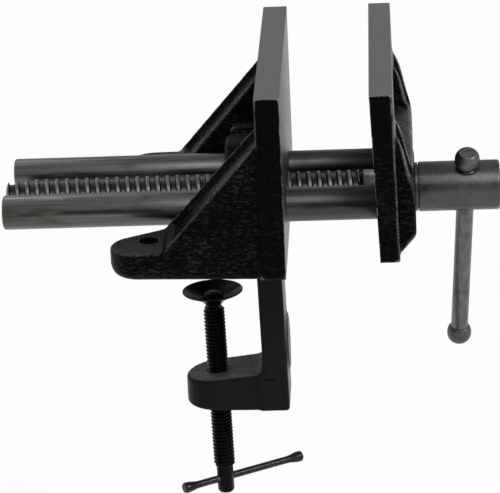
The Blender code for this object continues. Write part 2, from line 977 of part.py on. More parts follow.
def build_main_screw():
    start = face_x - screw_tail_reach + thread_depth
    length = face_x + thread_end_reach - start
    root = screw_radius - thread_depth
    shoulder = hub_x - 2 * running_gap - start
    body = threaded(
        "main screw",
        (start, 0, screw_z),
        (1, 0, 0),
        length,
        (screw_radius, thread_depth, screw_pitch, thread_run_out),
        square_thread_shares,
        main_thread_sides,
        [(-thread_depth / 2, root), (-thread_depth, root - thread_depth / 2)],
        [
            (length + thread_depth / 2, screw_radius),
            (shoulder, screw_radius),
            (shoulder, spigot_radius),
            (spigot_end_x - start - rod_pin_chamfer, spigot_radius),
            (spigot_end_x - start, spigot_radius - rod_pin_chamfer),
        ],
    )
    across = spoke(collar_pin_angle)
    centre = Vector((collar_middle_x(), 0, screw_z))
    collar_hole = drill(
        "collar pin hole",
        centre - across * (screw_radius + cut_overrun),
        across,
        2 * (screw_radius + cut_overrun),
        collar_pin_radius + running_gap,
        small_sides,
    )
    outward = spoke(hub_pin_angle)
    mouth = Vector((hub_x + hub_pin_offset, 0, screw_z)) + outward * (hub_radius + cut_overrun)
    hub_hole = drill(
        "hub pin hole",
        mouth,
        -outward,
        hub_pin_length + pin_recess + running_gap + cut_overrun,
        hub_pin_radius + running_gap,
        small_sides,
    )
    cut(body, [collar_hole, hub_hole])
    return finished(body, "main_screw", (start, 0, screw_z), *turned_steel)


def build_hub():
    body = turned(
        "hub",
        [
            (0, hub_radius - hub_chamfer / 2),
            (hub_chamfer / 2, hub_radius),
            (hub_length - hub_chamfer, hub_radius),
            (hub_length, hub_radius - hub_chamfer),
        ],
        (hub_x, 0, screw_z),
        (1, 0, 0),
        round_sides,
    )
    socket = drill(
        "spigot socket",
        (hub_x - cut_overrun, 0, screw_z),
        (1, 0, 0),
        cut_overrun + spigot_length + running_gap,
        spigot_radius + running_gap,
        round_sides,
    )
    direction = bar_direction()
    bar_hole = drill(
        "bar hole",
        Vector((bar_x, 0, screw_z)) - direction * (hub_radius + cut_overrun),
        direction,
        2 * (hub_radius + cut_overrun),
        bar_hole_radius,
        round_sides,
    )
    outward = spoke(hub_pin_angle)
    mouth = Vector((hub_x + hub_pin_offset, 0, screw_z)) + outward * (hub_radius + cut_overrun)
    pin_hole = drill(
        "hub pin hole",
        mouth,
        -outward,
        hub_radius + cut_overrun,
        hub_pin_radius + running_gap,
        small_sides,
    )
    cut(body, [socket, bar_hole, pin_hole])
    return finished(body, "screw_hub", (hub_x, 0, screw_z), *turned_steel)


def build_hub_pin():
    outward = spoke(hub_pin_angle)
    mouth = Vector((hub_x + hub_pin_offset, 0, screw_z)) + outward * (hub_radius - pin_recess)
    body = turned(
        "hub pin",
        [
            (0, hub_pin_radius - rod_pin_chamfer),
            (rod_pin_chamfer, hub_pin_radius),
            (hub_pin_length - rod_pin_chamfer, hub_pin_radius),
            (hub_pin_length, hub_pin_radius - rod_pin_chamfer),
        ],
        mouth,
        -outward,
        small_sides,
    )
    return finished(body, "hub_pin", (hub_x + hub_pin_offset, 0, screw_z), *dark_steel)


def build_washer():
    bore = around(screw_radius + running_gap, round_sides)
    edge = washer_thickness / 5
    body = tube(
        "washer",
        [
            (0, bore),
            (0, washer_radius - edge),
            (edge, washer_radius),
            (washer_thickness - edge, washer_radius),
            (washer_thickness, washer_radius - edge),
            (washer_thickness, bore),
        ],
        (washer_x, 0, screw_z),
        (1, 0, 0),
        round_sides,
    )
    return finished(body, "thrust_washer", (washer_x, 0, screw_z), *dark_steel)


def build_collar():
    start = collar_middle_x() - collar_length / 2
    bore = around(screw_radius + running_gap, round_sides)
    body = tube(
        "collar",
        [
            (0, bore),
            (0, collar_radius - collar_chamfer),
            (collar_chamfer, collar_radius),
            (collar_length - collar_chamfer, collar_radius),
            (collar_length, collar_radius - collar_chamfer),
            (collar_length, bore),
        ],
        (start, 0, screw_z),
        (1, 0, 0),
        round_sides,
    )
    across = spoke(collar_pin_angle)
    hole = drill(
        "collar pin hole",
        Vector((collar_middle_x(), 0, screw_z)) - across * (collar_radius + cut_overrun),
        across,
        2 * (collar_radius + cut_overrun),
        collar_pin_radius + running_gap,
        small_sides,
    )
    cut(body, [hole])
    return finished(body, "screw_collar", (start, 0, screw_z), *dark_steel)


def build_collar_pin():
    across = spoke(collar_pin_angle)
    length = 2 * (collar_radius - pin_recess)
    start = Vector((collar_middle_x(), 0, screw_z)) - across * (length / 2)
    edge = rod_pin_chamfer / 2
    body = turned(
        "collar pin",
        [
            (0, collar_pin_radius - edge),
            (edge, collar_pin_radius),
            (length - edge, collar_pin_radius),
            (length, collar_pin_radius - edge),
        ],
        start,
        across,
        small_sides,
    )
    return finished(body, "collar_pin", (collar_middle_x(), 0, screw_z), *dark_steel)


def bar_direction():
    """Direction of the handle bar, from its lower end to its upper end."""
    upright = spoke(bar_tilt)
    return (upright * math.cos(bar_lean) + Vector((1, 0, 0)) * math.sin(bar_lean)).normalized()


def build_bar():
    direction = bar_direction()
    centre = Vector((bar_x, 0, screw_z))
    upper = bar_upper_reach - knob_length / 2 - running_gap
    lower = bar_lower_reach - knob_length / 2 - running_gap
    total = upper + lower
    edge = rod_pin_chamfer
    body = turned(
        "bar",
        [
            (-tenon_length, tenon_radius - edge),
            (-tenon_length + edge, tenon_radius),
            (0, tenon_radius),
            (0, bar_radius),
            (total, bar_radius),
            (total, tenon_radius),
            (total + tenon_length - edge, tenon_radius),
            (total + tenon_length, tenon_radius - edge),
        ],
        centre - direction * lower,
        direction,
        small_sides,
    )
    return finished(body, "handle_bar", tuple(centre), *turned_steel)


knob_shares = ((0.00, 0.0), (0.06, 0.24), (0.20, 0.68), (0.36, 0.94), (0.50, 1.0))


def build_knob(name, reach, way):
    """Barrel knob whose blind bore takes the bar's tenon. way is +1 at the upper end."""
    direction = bar_direction() * way
    centre = Vector((bar_x, 0, screw_z))
    inner_face = centre + direction * (reach - knob_length / 2)
    swell = knob_radius - knob_end_radius
    first = [(knob_length * far, knob_end_radius + swell * high) for far, high in knob_shares]
    second = [(knob_length * (1 - far), radius) for (far, high), (along, radius) in
              zip(reversed(knob_shares[:-1]), reversed(first[:-1]))]
    body = turned("knob", first + second, inner_face, direction, small_sides)
    bore = drill(
        "tenon bore",
        inner_face - direction * cut_overrun,
        direction,
        cut_overrun + tenon_length,
        tenon_radius + running_gap,
        small_sides,
    )
    cut(body, [bore])
    return finished(body, name, tuple(centre), *turned_steel)


def build_clamp_screw():
    start = -clamp_thread_end_depth
    length = clamp_thread_end_depth - clamp_thread_top_depth
    root = clamp_screw_radius - clamp_thread_depth
    spigot = pad_bore_radius - running_gap
    pin_end = clamp_thread_end_depth - clamp_pin_end_depth
    dome = [
        (pin_end + pin_dome_height, clamp_pin_radius),
        (pin_end + pin_dome_height * 0.35, clamp_pin_radius * 0.80),
        (pin_end, clamp_pin_radius * 0.35),
    ]
    keeper_top = keeper_floor_z() + keeper_height - start
    body = threaded(
        "clamp screw",
        clamp_point(start),
        clamp_direction(),
        length,
        (clamp_screw_radius, clamp_thread_depth, clamp_screw_pitch, clamp_run_out),
        vee_thread_shares,
        clamp_thread_sides,
        dome,
        [(length, spigot), (keeper_top - rod_pin_chamfer, spigot), (keeper_top, spigot - rod_pin_chamfer)],
    )
    along = tommy_direction()
    hole = drill(
        "tommy hole",
        clamp_point(-tommy_depth) - along * (clamp_pin_radius + cut_overrun),
        along,
        2 * (clamp_pin_radius + cut_overrun),
        tommy_radius + running_gap,
        small_sides,
    )
    cut(body, [hole])
    return finished(body, "clamp_screw", tuple(clamp_point(start)), *dark_steel)


def pad_floor_z():
    return -pad_rim_depth - pad_height * pad_floor_depth_share


def keeper_floor_z():
    return pad_floor_z() + running_gap


dish_shares = ((0.955, 0.00), (0.80, 0.22), (0.58, 0.42), (0.42, 0.55))
skirt_shares = ((0.00, 1.00), (0.10, 0.84), (0.26, 0.66), (0.52, 0.42), (0.86, 0.20), (1.00, 0.08), (1.00, 0.00))


def build_pad():
    """Swivel pad: a shallow dish above a cone that narrows to its neck."""
    bore = around(pad_bore_radius, round_sides)
    loop = [(-pad_height * down, pad_radius * out) for out, down in dish_shares]
    floor = -pad_height * pad_floor_depth_share
    loop.append((floor, (pad_radius * dish_shares[-1][0] + bore) / 2))
    loop.append((floor, bore))
    loop.append((-pad_height, bore))
    for out, down in skirt_shares:
        loop.append((-pad_height * down, pad_neck_radius + (pad_radius - pad_neck_radius) * out))
    rim = clamp_point(-pad_rim_depth)
    body = tube("pad", loop, rim, clamp_direction(), round_sides)
    return finished(body, "clamp_pad", tuple(rim), *dark_steel)


def build_keeper():
    """Domed ring that holds the screw's spigot in the pad."""
    bore = around(pad_bore_radius, small_sides)
    loop = [
        (0, bore),
        (0, keeper_radius),
        (keeper_height * 0.40, keeper_radius * 0.97),
        (keeper_height * 0.75, keeper_radius * 0.82),
        (keeper_height * 0.95, bore + (keeper_radius - bore) * 0.42),
        (keeper_height, bore),
    ]
    foot = clamp_point(keeper_floor_z())
    body = tube("keeper", loop, foot, clamp_direction(), small_sides)
    return finished(body, "pad_keeper", tuple(foot), *turned_steel)


def tommy_direction():
    """Direction of the tommy bar, square to the clamp screw, from its short side to its long side."""
    across = Vector((math.cos(clamp_frame_lean), 0, math.sin(clamp_frame_lean)))
    return across * math.cos(tommy_angle) + Vector((0, math.sin(tommy_angle), 0))


def build_tommy():
    along = tommy_direction()
    centre = clamp_point(-tommy_depth)
    short = tommy_short_reach - tommy_end_length - running_gap
    long = tommy_long_reach - tommy_end_length - running_gap
    total = short + long
    body = turned(
        "tommy bar",
        [
            (-tommy_tenon_length, tommy_tenon_radius),
            (0, tommy_tenon_radius),
            (0, tommy_radius),
            (total, tommy_radius),
            (total, tommy_tenon_radius),
            (total + tommy_tenon_length, tommy_tenon_radius),
        ],
        centre - along * short,
        along,
        small_sides,
    )
    return finished(body, "clamp_bar", tuple(centre), *dark_steel)


def build_tommy_end(name, reach, way):
    """Swaged bead on the end of the tommy bar."""
    direction = tommy_direction() * way
    centre = clamp_point(-tommy_depth)
    inner_face = centre + direction * (reach - tommy_end_length)
    edge = tommy_end_chamfer
    body = turned(
        "bead",
        [
            (0, tommy_end_radius - edge),
            (edge, tommy_end_radius),
            (tommy_end_length - edge, tommy_end_radius),
            (tommy_end_length, tommy_end_radius - edge),
        ],
        inner_face,
        direction,
        small_sides,
    )
    bore = drill(
        "tenon bore",
        inner_face - direction * cut_overrun,
        direction,
        cut_overrun + tommy_tenon_length,
        tommy_tenon_radius + running_gap,
        small_sides,
    )
    cut(body, [bore])
    return finished(body, name, tuple(centre), *dark_steel)


def main():
    clear_scene()
    build_fixed_jaw()
    build_nut()
    build_set_screw()
    build_moving_jaw()
    build_rod(-1, "guide_rod_near")
    build_rod(1, "guide_rod_far")
    build_rod_pin(-1, "rod_pin_near")
    build_rod_pin(1, "rod_pin_far")
    build_main_screw()
    build_hub()
    build_hub_pin()
    build_washer()
    build_collar()
    build_collar_pin()
    build_bar()
    build_knob("handle_knob_upper", bar_upper_reach, 1)
    build_knob("handle_knob_lower", bar_lower_reach, -1)
    build_clamp_screw()
    build_pad()
    build_keeper()
    build_tommy()
    build_tommy_end("clamp_bar_end_near", tommy_short_reach, -1)
    build_tommy_end("clamp_bar_end_far", tommy_long_reach, 1)


main()
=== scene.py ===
# %% [markdown]
# # Dressing a clamp-on woodworking vise
# The CAD frame already holds every piece of the vise at its real size. This lesson gives those pieces the
# look of the real thing: two iron castings in black wrinkle enamel with milled jaw faces, turned steel rods,
# a coarse screw thread and a blackened bench clamp. Every length is in metres, as in the frame.

# %% Load the frame
import bpy
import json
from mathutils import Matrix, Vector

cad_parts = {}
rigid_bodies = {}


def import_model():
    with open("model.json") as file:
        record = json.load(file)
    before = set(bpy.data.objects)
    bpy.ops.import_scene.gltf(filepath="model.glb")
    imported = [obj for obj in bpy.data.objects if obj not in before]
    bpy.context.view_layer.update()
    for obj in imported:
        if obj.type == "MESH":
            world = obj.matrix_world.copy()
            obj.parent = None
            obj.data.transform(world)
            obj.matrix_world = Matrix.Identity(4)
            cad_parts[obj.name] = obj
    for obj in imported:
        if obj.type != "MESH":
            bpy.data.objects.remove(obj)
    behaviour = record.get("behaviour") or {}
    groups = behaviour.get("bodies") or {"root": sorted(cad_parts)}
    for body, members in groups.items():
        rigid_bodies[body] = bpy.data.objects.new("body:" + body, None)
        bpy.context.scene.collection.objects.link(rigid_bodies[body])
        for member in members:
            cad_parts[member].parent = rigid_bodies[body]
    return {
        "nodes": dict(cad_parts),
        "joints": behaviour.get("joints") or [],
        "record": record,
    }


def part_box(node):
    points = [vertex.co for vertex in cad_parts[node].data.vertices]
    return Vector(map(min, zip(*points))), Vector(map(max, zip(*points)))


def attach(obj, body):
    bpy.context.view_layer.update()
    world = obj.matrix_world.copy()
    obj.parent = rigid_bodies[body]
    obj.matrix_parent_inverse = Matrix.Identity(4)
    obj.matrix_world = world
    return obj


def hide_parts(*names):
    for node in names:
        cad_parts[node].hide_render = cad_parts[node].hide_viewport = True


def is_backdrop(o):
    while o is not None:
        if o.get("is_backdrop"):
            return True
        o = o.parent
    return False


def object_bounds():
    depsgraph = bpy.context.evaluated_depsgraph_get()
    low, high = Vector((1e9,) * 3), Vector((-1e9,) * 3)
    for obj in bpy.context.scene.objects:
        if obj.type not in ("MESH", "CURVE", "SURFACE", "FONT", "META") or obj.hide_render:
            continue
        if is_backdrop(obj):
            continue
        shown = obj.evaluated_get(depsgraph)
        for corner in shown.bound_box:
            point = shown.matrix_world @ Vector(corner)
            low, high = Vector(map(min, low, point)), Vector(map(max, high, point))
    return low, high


for leftover in list(bpy.data.objects):
    bpy.data.objects.remove(leftover, do_unlink=True)
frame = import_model()
cad_low, cad_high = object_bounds()
print("CAD box in mm:", [round(v * 1000, 1) for v in (*cad_low, *cad_high)])

# %% Modules
import json
import math

import bmesh
import numpy as np
from mathutils import Matrix, Vector

millimetre = 0.001


def mm(length, digits=1):
    """A length in metres as millimetres, for printing."""
    return round(length / millimetre, digits)


print("Blender", bpy.app.version_string, "with numpy", np.__version__)


# %% Middle of a piece
def middle_of(node_name):
    """Middle of the box of a node of the frame."""
    return sum(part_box(node_name), Vector()) / 2


print("hub's middle in mm:", [mm(v, 2) for v in middle_of("screw_hub")])

# %% [markdown]
# ## Graph steps
# The finishes and the screw threads are both small graphs of nodes. Two kinds of step come back all the
# time: arithmetic on a few values, and a smooth ramp from one range to another. Each of them takes numbers
# or the outputs of other nodes, so a graph reads like a formula.


# %% Graph steps
def feed(tree, socket, value):
    """Sets a socket to a number, or links the output of another node to it."""
    if isinstance(value, (int, float)):
        socket.default_value = value
    else:
        tree.links.new(value, socket)


def math_node(tree, operation, *values):
    """One step of arithmetic."""
    node = tree.nodes.new("ShaderNodeMath")
    node.operation = operation
    for socket, value in zip(node.inputs, values):
        feed(tree, socket, value)
    return node.outputs[0]


def ramp_node(tree, value, low, high, out_low, out_high):
    """A smooth ramp from one range to another."""
    node = tree.nodes.new("ShaderNodeMapRange")
    node.interpolation_type = "SMOOTHSTEP"
    parts = {"Value": value, "From Min": low, "From Max": high, "To Min": out_low, "To Max": out_high}
    for name, part in parts.items():
        feed(tree, node.inputs[name], part)
    return node.outputs["Result"]


print("graph steps:", ", ".join(step.__name__ for step in (feed, math_node, ramp_node)))

# %% [markdown]
# ## Camera
# The photograph was taken with a long lens, almost square on to the vise's long side and from above.
# A camera can be placed by hand or worked out from known points. Here its azimuth, elevation, roll and
# distance were fitted so that the corners of the jaws and the ends of the rods fall where they should.

# %% Camera values
camera_azimuth = math.radians(2.80)
camera_elevation = math.radians(19.54)
camera_roll = math.radians(2.60)
camera_distance = 1.4704
camera_target = Vector((3.26, 0.0, -10.53)) * millimetre
focal_pixels = 3203.1
image_width = 500
sensor_width = 36.0
print("lens:", round(focal_pixels / image_width * sensor_width, 1), "mm")


# %% Camera
def make_camera():
    """Places the camera round its target by its angles, roll and distance."""
    flat = math.cos(camera_elevation)
    back = Vector((
        math.sin(camera_azimuth) * flat,
        -math.cos(camera_azimuth) * flat,
        math.sin(camera_elevation),
    ))
    right = (-back).cross(Vector((0, 0, 1))).normalized()
    up = right.cross(-back)
    turned_right = right * math.cos(camera_roll) - up * math.sin(camera_roll)
    turned_up = right * math.sin(camera_roll) + up * math.cos(camera_roll)
    data = bpy.data.cameras.new("photo_camera")
    data.sensor_width = sensor_width
    data.lens = focal_pixels / image_width * sensor_width
    data.clip_start = camera_distance * 0.1
    data.clip_end = camera_distance * 20
    camera = bpy.data.objects.new("photo_camera", data)
    bpy.context.scene.collection.objects.link(camera)
    camera.matrix_world = Matrix((turned_right, turned_up, back)).transposed().to_4x4()
    camera.location = camera_target + back * camera_distance
    bpy.context.scene.camera = camera
    return camera


camera = make_camera()
print("camera at", tuple(round(v, 3) for v in camera.location))

# %% [markdown]
# ## Studio
# The vise stands on a pale table in front of nothing but white. Studio light could come from a picture of
# a studio wrapped round the scene, but lamps are easier to steer. A small one high on the right does most
# of the work, as in the photograph, where every face that looks right is bright and every face that looks
# left is nearly black. Two large soft ones fill in from the front and the back, and the world is plain
# white at half strength. Black enamel only shows its shape by what it mirrors, so the lamps matter more
# than its colour does.

# %% Lamps
lamp_layout = {
    "key": ((1.35, -0.75, 1.00), 0.32, 15.0),
    "front": ((0.25, -1.15, 1.50), 1.20, 9.0),
    "back": ((-0.90, 1.00, 1.40), 0.80, 5.0),
}


def make_lamp(name, place, side, power):
    """A square lamp that faces the vise."""
    data = bpy.data.lights.new(name, "AREA")
    data.shape = "SQUARE"
    data.size = side
    data.energy = power
    lamp = bpy.data.objects.new(name, data)
    bpy.context.scene.collection.objects.link(lamp)
    lamp.location = place
    lamp.rotation_mode = "QUATERNION"
    lamp.rotation_quaternion = (camera_target - Vector(place)).to_track_quat("-Z", "Y")


for lamp_name, (place, side, power) in lamp_layout.items():
    make_lamp(lamp_name, place, side, power)
print("lamps:", ", ".join(lamp_layout))

# %% World
sky_level = 0.50
world = bpy.data.worlds.new("studio")
world.use_nodes = True
sky = world.node_tree.nodes["Background"]
sky.inputs["Color"].default_value = (1, 1, 1, 1)
sky.inputs["Strength"].default_value = sky_level
bpy.context.scene.world = world
bpy.context.scene.view_settings.view_transform = "Standard"
print("white sky at strength", sky_level)

# %% [markdown]
# ## Table
# The photograph's background is white to its edge. A white table under these lamps would come out grey, so
# it glows where the camera, a mirror or a glass looks at it, and the light that it throws on the vise is
# still that of pale paper. It stands lower than the vise, because the clamp screw needs that room when it
# is wound right down.

# %% Table sizes
clamp_screw_drop = 32.0 * millimetre
floor_depth = cad_low.z - clamp_screw_drop
floor_side = 14.0
floor_glow = 0.93
paper_white = 0.95
print("table stands", mm(-floor_depth), "mm under the bench top")


# %% Table
def seen_directly(tree):
    """1 for rays from the camera, from a mirror and through glass, else 0."""
    rays = tree.nodes.new("ShaderNodeLightPath").outputs
    camera_or_mirror = math_node(tree, "MAXIMUM", rays["Is Camera Ray"], rays["Is Glossy Ray"])
    return math_node(tree, "MAXIMUM", camera_or_mirror, rays["Is Transmission Ray"])


def table_paper():
    """Pale paper that also glows where it is seen directly."""
    paper = bpy.data.materials.new("table_paper")
    paper.use_nodes = True
    tree = paper.node_tree
    shader = tree.nodes["Principled BSDF"]
    shader.inputs["Base Color"].default_value = (paper_white, paper_white, paper_white, 1)
    shader.inputs["Roughness"].default_value = 0.9
    glow = tree.nodes.new("ShaderNodeEmission")
    mix = tree.nodes.new("ShaderNodeMixShader")
    tree.links.new(math_node(tree, "MULTIPLY", seen_directly(tree), floor_glow), mix.inputs["Fac"])
    tree.links.new(shader.outputs["BSDF"], mix.inputs[1])
    tree.links.new(glow.outputs["Emission"], mix.inputs[2])
    tree.links.new(mix.outputs["Shader"], tree.nodes["Material Output"].inputs["Surface"])
    return paper


def make_table():
    """One large level square that belongs to the stage, not to the vise."""
    half = floor_side / 2
    mesh = bpy.data.meshes.new("table")
    corners = [(-half, -half), (half, -half), (half, half), (-half, half)]
    mesh.from_pydata([(x, y, floor_depth) for x, y in corners], [], [(0, 1, 2, 3)])
    mesh.materials.append(table_paper())
    table = bpy.data.objects.new("table", mesh)
    bpy.context.scene.collection.objects.link(table)
    table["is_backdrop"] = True
    return table


print(make_table().name, "is", floor_side, "m wide")

# %% [markdown]
# ## Shader helpers
# The finishes could be painted pictures wrapped round each piece, but a procedural finish needs no pictures
# and stays sharp at any distance. These helpers build the steps that all the finishes share: object
# coordinates in millimetres, noise stretched along one axis, a range that turns a value into a mask, and
# a mix of two colours. Working in millimetres keeps every texture at its real scale.


# %% Shader helpers
class Finish:
    """A Principled material with short calls for the nodes that feed it."""

    def __init__(self, name, colour, roughness, metallic):
        self.material = bpy.data.materials.new(name)
        self.material.use_nodes = True
        self.tree = self.material.node_tree
        self.shader = self.tree.nodes["Principled BSDF"]
        self.shader.inputs["Base Color"].default_value = (*colour, 1)
        self.shader.inputs["Roughness"].default_value = roughness
        self.shader.inputs["Metallic"].default_value = metallic
        self.coordinates = self.tree.nodes.new("ShaderNodeTexCoord").outputs["Object"]

    def link(self, source, target):
        self.tree.links.new(source, target)

    def placed(self, stretch=(1, 1, 1), centre=(0, 0, 0)):
        """Object coordinates in millimetres, centred and stretched."""
        centred = self.tree.nodes.new("ShaderNodeMapping")
        centred.inputs["Location"].default_value = [-v for v in centre]
        self.link(self.coordinates, centred.inputs["Vector"])
        scaled = self.tree.nodes.new("ShaderNodeMapping")
        scaled.inputs["Scale"].default_value = (1 / millimetre,) * 3
        self.link(centred.outputs["Vector"], scaled.inputs["Vector"])
        if stretch == (1, 1, 1):
            return scaled.outputs["Vector"]
        squeezed = self.tree.nodes.new("ShaderNodeMapping")
        squeezed.inputs["Scale"].default_value = [1 / v for v in stretch]
        self.link(scaled.outputs["Vector"], squeezed.inputs["Vector"])
        return squeezed.outputs["Vector"]

    def noise(self, size, detail=3.0, vector=None, distortion=0.0):
        """Noise whose blotches are about size millimetres across."""
        node = self.tree.nodes.new("ShaderNodeTexNoise")
        node.inputs["Scale"].default_value = 1 / size
        node.inputs["Detail"].default_value = detail
        node.inputs["Distortion"].default_value = distortion
        self.link(vector or self.placed(), node.inputs["Vector"])
        return node.outputs["Fac"]

    def mask(self, value, low, high, out_low=0.0, out_high=1.0):
        """A smooth change from out_low to out_high while the value goes from low to high."""
        return ramp_node(self.tree, value, low, high, out_low, out_high)

    def sum(self, first, second):
        return math_node(self.tree, "ADD", first, second)

    def size_of(self, value):
        """The value without its sign."""
        return math_node(self.tree, "ABSOLUTE", value)

    def times(self, *values):
        """The product of any number of values."""
        product = values[0]
        for value in values[1:]:
            product = math_node(self.tree, "MULTIPLY", product, value)
        return product

    def colours(self, share, first, second):
        node = self.tree.nodes.new("ShaderNodeMix")
        node.data_type = "RGBA"
        for socket, value in ((node.inputs[6], first), (node.inputs[7], second)):
            if isinstance(value, tuple):
                socket.default_value = (*value, 1)
            else:
                self.link(value, socket)
        self.link(share, node.inputs[0])
        return node.outputs[2]

    def along(self, vector, axis):
        node = self.tree.nodes.new("ShaderNodeSeparateXYZ")
        self.link(vector, node.inputs[0])
        return node.outputs[axis]

    def away(self, vector, drop):
        """Distance from an axis: the length of a vector whose drop component is left out."""
        flat = self.tree.nodes.new("ShaderNodeVectorMath")
        flat.operation = "MULTIPLY"
        flat.inputs[1].default_value = [0 if axis == drop else 1 for axis in "XYZ"]
        self.link(vector, flat.inputs[0])
        length = self.tree.nodes.new("ShaderNodeVectorMath")
        length.operation = "LENGTH"
        self.link(flat.outputs["Vector"], length.inputs[0])
        return length.outputs["Value"]

    def facing_up(self):
        """1 on level faces, 0 on upright ones, from the true normal."""
        node = self.tree.nodes.new("ShaderNodeNewGeometry")
        return self.size_of(self.along(node.outputs["True Normal"], 2))

    def edges(self, low, high):
        """1 on outer edges and 0 elsewhere, from the curvature of the mesh."""
        node = self.tree.nodes.new("ShaderNodeNewGeometry")
        return self.mask(node.outputs["Pointiness"], low, high)

    def bump(self, height, distance):
        """Adds a bump of a depth in millimetres on top of any that is there already."""
        node = self.tree.nodes.new("ShaderNodeBump")
        node.inputs["Strength"].default_value = 1.0
        node.inputs["Distance"].default_value = distance * millimetre
        self.link(height, node.inputs["Height"])
        before = self.shader.inputs["Normal"].links
        if before:
            self.link(before[0].from_socket, node.inputs["Normal"])
        self.link(node.outputs["Normal"], self.shader.inputs["Normal"])

    def colour(self, value):
        self.link(value, self.shader.inputs["Base Color"])

    def roughness(self, value):
        self.link(value, self.shader.inputs["Roughness"])

    def done(self):
        print(self.material.name, "has", len(self.tree.nodes), "nodes")
        return self.material


print("steps:", ", ".join(name for name in vars(Finish) if not name.startswith("_")))

# %% [markdown]
# ## Black wrinkle enamel
# The castings wear a thick black paint. On the upright faces of the jaws it dried over rough sand-cast iron
# and shows worm-like wrinkles, longer than they are high. It is smoother near the top and on the clamp's
# column, and edges are rubbed to the iron. Level faces are paler, partly from dust and partly as a painted
# sheen of the light above. The ridges of the wrinkles are paler, partly from dust and partly as painted
# highlights, and the rims near the ends of the ribs are grey, partly rubbed and partly painted highlights.
# A single noise would look like gravel, so one noise is stretched along the jaw's depth and bent by its own
# distortion, and a second, finer one adds the orange peel. Where each look starts is a place in the part's
# own frame, so it stays on the casting when that moves.

# %% Where the enamel changes
# Millimetres from the frame's origin. Each pair says where a change starts and where it is complete.
wrinkles_under = (64.0, 50.0)
wrinkle_drift = 30.0
above_bench = (-3.0, 3.0)
plate_end_side = (74.4, 74.7)
plate_end_x = (40.0, 30.0)
moving_jaw_x = (50.0, 60.0)
rib_sides_from = (38.0, 39.5)
rib_sides_to = (69.0, 67.5)
rib_x = (70.5, 72.5)
rib_upper_end = (38.0, 46.0)
rib_lower_end = (17.0, 12.0)
print("wrinkles end between", wrinkles_under[1], "and", wrinkles_under[0], "mm above the bench")


# %% Zones of the enamel
def enamel_zones(paint):
    """Shares between 0 and 1 that say what kind of place on a casting this is."""
    x, y, z = (paint.along(paint.placed(), axis) for axis in range(3))
    side = paint.size_of(y)
    drift = paint.noise(14.0, 2.0)
    level = paint.sum(z, paint.times(paint.sum(drift, -0.5), wrinkle_drift))
    above = paint.mask(z, *above_bench)
    upright = paint.mask(paint.facing_up(), 0.96, 0.78)
    rib_ends = paint.sum(paint.mask(z, *rib_upper_end), paint.mask(z, *rib_lower_end))
    return {
        "drift": drift,
        "above": above,
        "wrinkled": paint.times(paint.mask(level, *wrinkles_under), above, upright),
        "plate end": paint.times(paint.mask(side, *plate_end_side), paint.mask(x, *plate_end_x)),
        # How much of the ridges' dust and painted highlight there is: less on the moving jaw.
        "dusted": paint.mask(x, *moving_jaw_x, 1.0, 0.6),
        "rib end": paint.times(
            paint.mask(side, *rib_sides_from),
            paint.mask(side, *rib_sides_to),
            paint.mask(x, *rib_x),
            rib_ends,
        ),
    }


# %% Colours of the enamel
jaw_black = ((0.0006, 0.0006, 0.0008), (0.0016, 0.0016, 0.0019))
column_black = ((0.0082, 0.0082, 0.0087), (0.0125, 0.0125, 0.0131))
# Level faces: partly settled dust, partly a painted sheen of the light above.
jaw_dust_and_sheen = (0.027, 0.027, 0.028)
column_dust_and_sheen = (0.085, 0.085, 0.087)
# Wrinkle ridges: partly dust, partly painted highlights.
ridge_dust_and_highlight = (0.016, 0.016, 0.017)
# Rims of the ribs: partly rubbed paint, partly painted highlights.
rib_rim_wear_and_highlight = (0.15, 0.148, 0.147)
rubbed_edge_grey = (0.21, 0.206, 0.203)


def enamel_colour(paint, zone, worms):
    """Black, with paler level faces and wrinkle ridges, partly dust and partly painted sheen and highlights,
    grey rib rims, partly rubbed and partly painted highlights, and rubbed edges.
    """
    tone = paint.colours(
        zone["above"],
        paint.colours(paint.noise(5.0), *column_black),
        paint.colours(paint.noise(9.0), *jaw_black),
    )
    # Paler level faces: partly dust, partly a painted sheen.
    level_dust_and_sheen = paint.times(
        paint.mask(paint.facing_up(), 0.80, 0.97), paint.mask(paint.noise(3.0), 0.3, 0.7, 0.6, 1.0))
    tone = paint.colours(level_dust_and_sheen, tone, paint.colours(zone["above"], column_dust_and_sheen, jaw_dust_and_sheen))
    # Paler ridges: partly dust, partly painted highlights, weaker at the plate's end and on the moving jaw.
    ridge_dust_and_highlight_mask = paint.times(
        paint.mask(worms, 0.50, 0.60),
        paint.mask(zone["drift"], 0.35, 0.65, 0.45, 1.0),
        paint.mask(zone["plate end"], 0, 1, 1.0, 0.25),
        zone["dusted"],
        zone["wrinkled"],
    )
    tone = paint.colours(ridge_dust_and_highlight_mask, tone, ridge_dust_and_highlight)
    # Grey rims near the ends of the ribs: partly rubbed paint, partly painted highlights.
    rib_rim_wear_and_highlight_mask = paint.times(paint.edges(0.504, 0.528), zone["rib end"])
    tone = paint.colours(rib_rim_wear_and_highlight_mask, tone, rib_rim_wear_and_highlight)
    rubbed = paint.times(
        paint.edges(0.516, 0.552), paint.mask(paint.noise(2.0, 2.0), 0.26, 0.52), zone["above"])
    return paint.colours(rubbed, tone, rubbed_edge_grey)


print("jaws", round(column_black[0][0] / jaw_black[0][0], 1), "times as black as the column")

# %% Black enamel
worm_stretch = (2.7, 1.4, 0.82)
worm_bend = 0.9
worm_depth = 1.3
peel_depth = 0.03


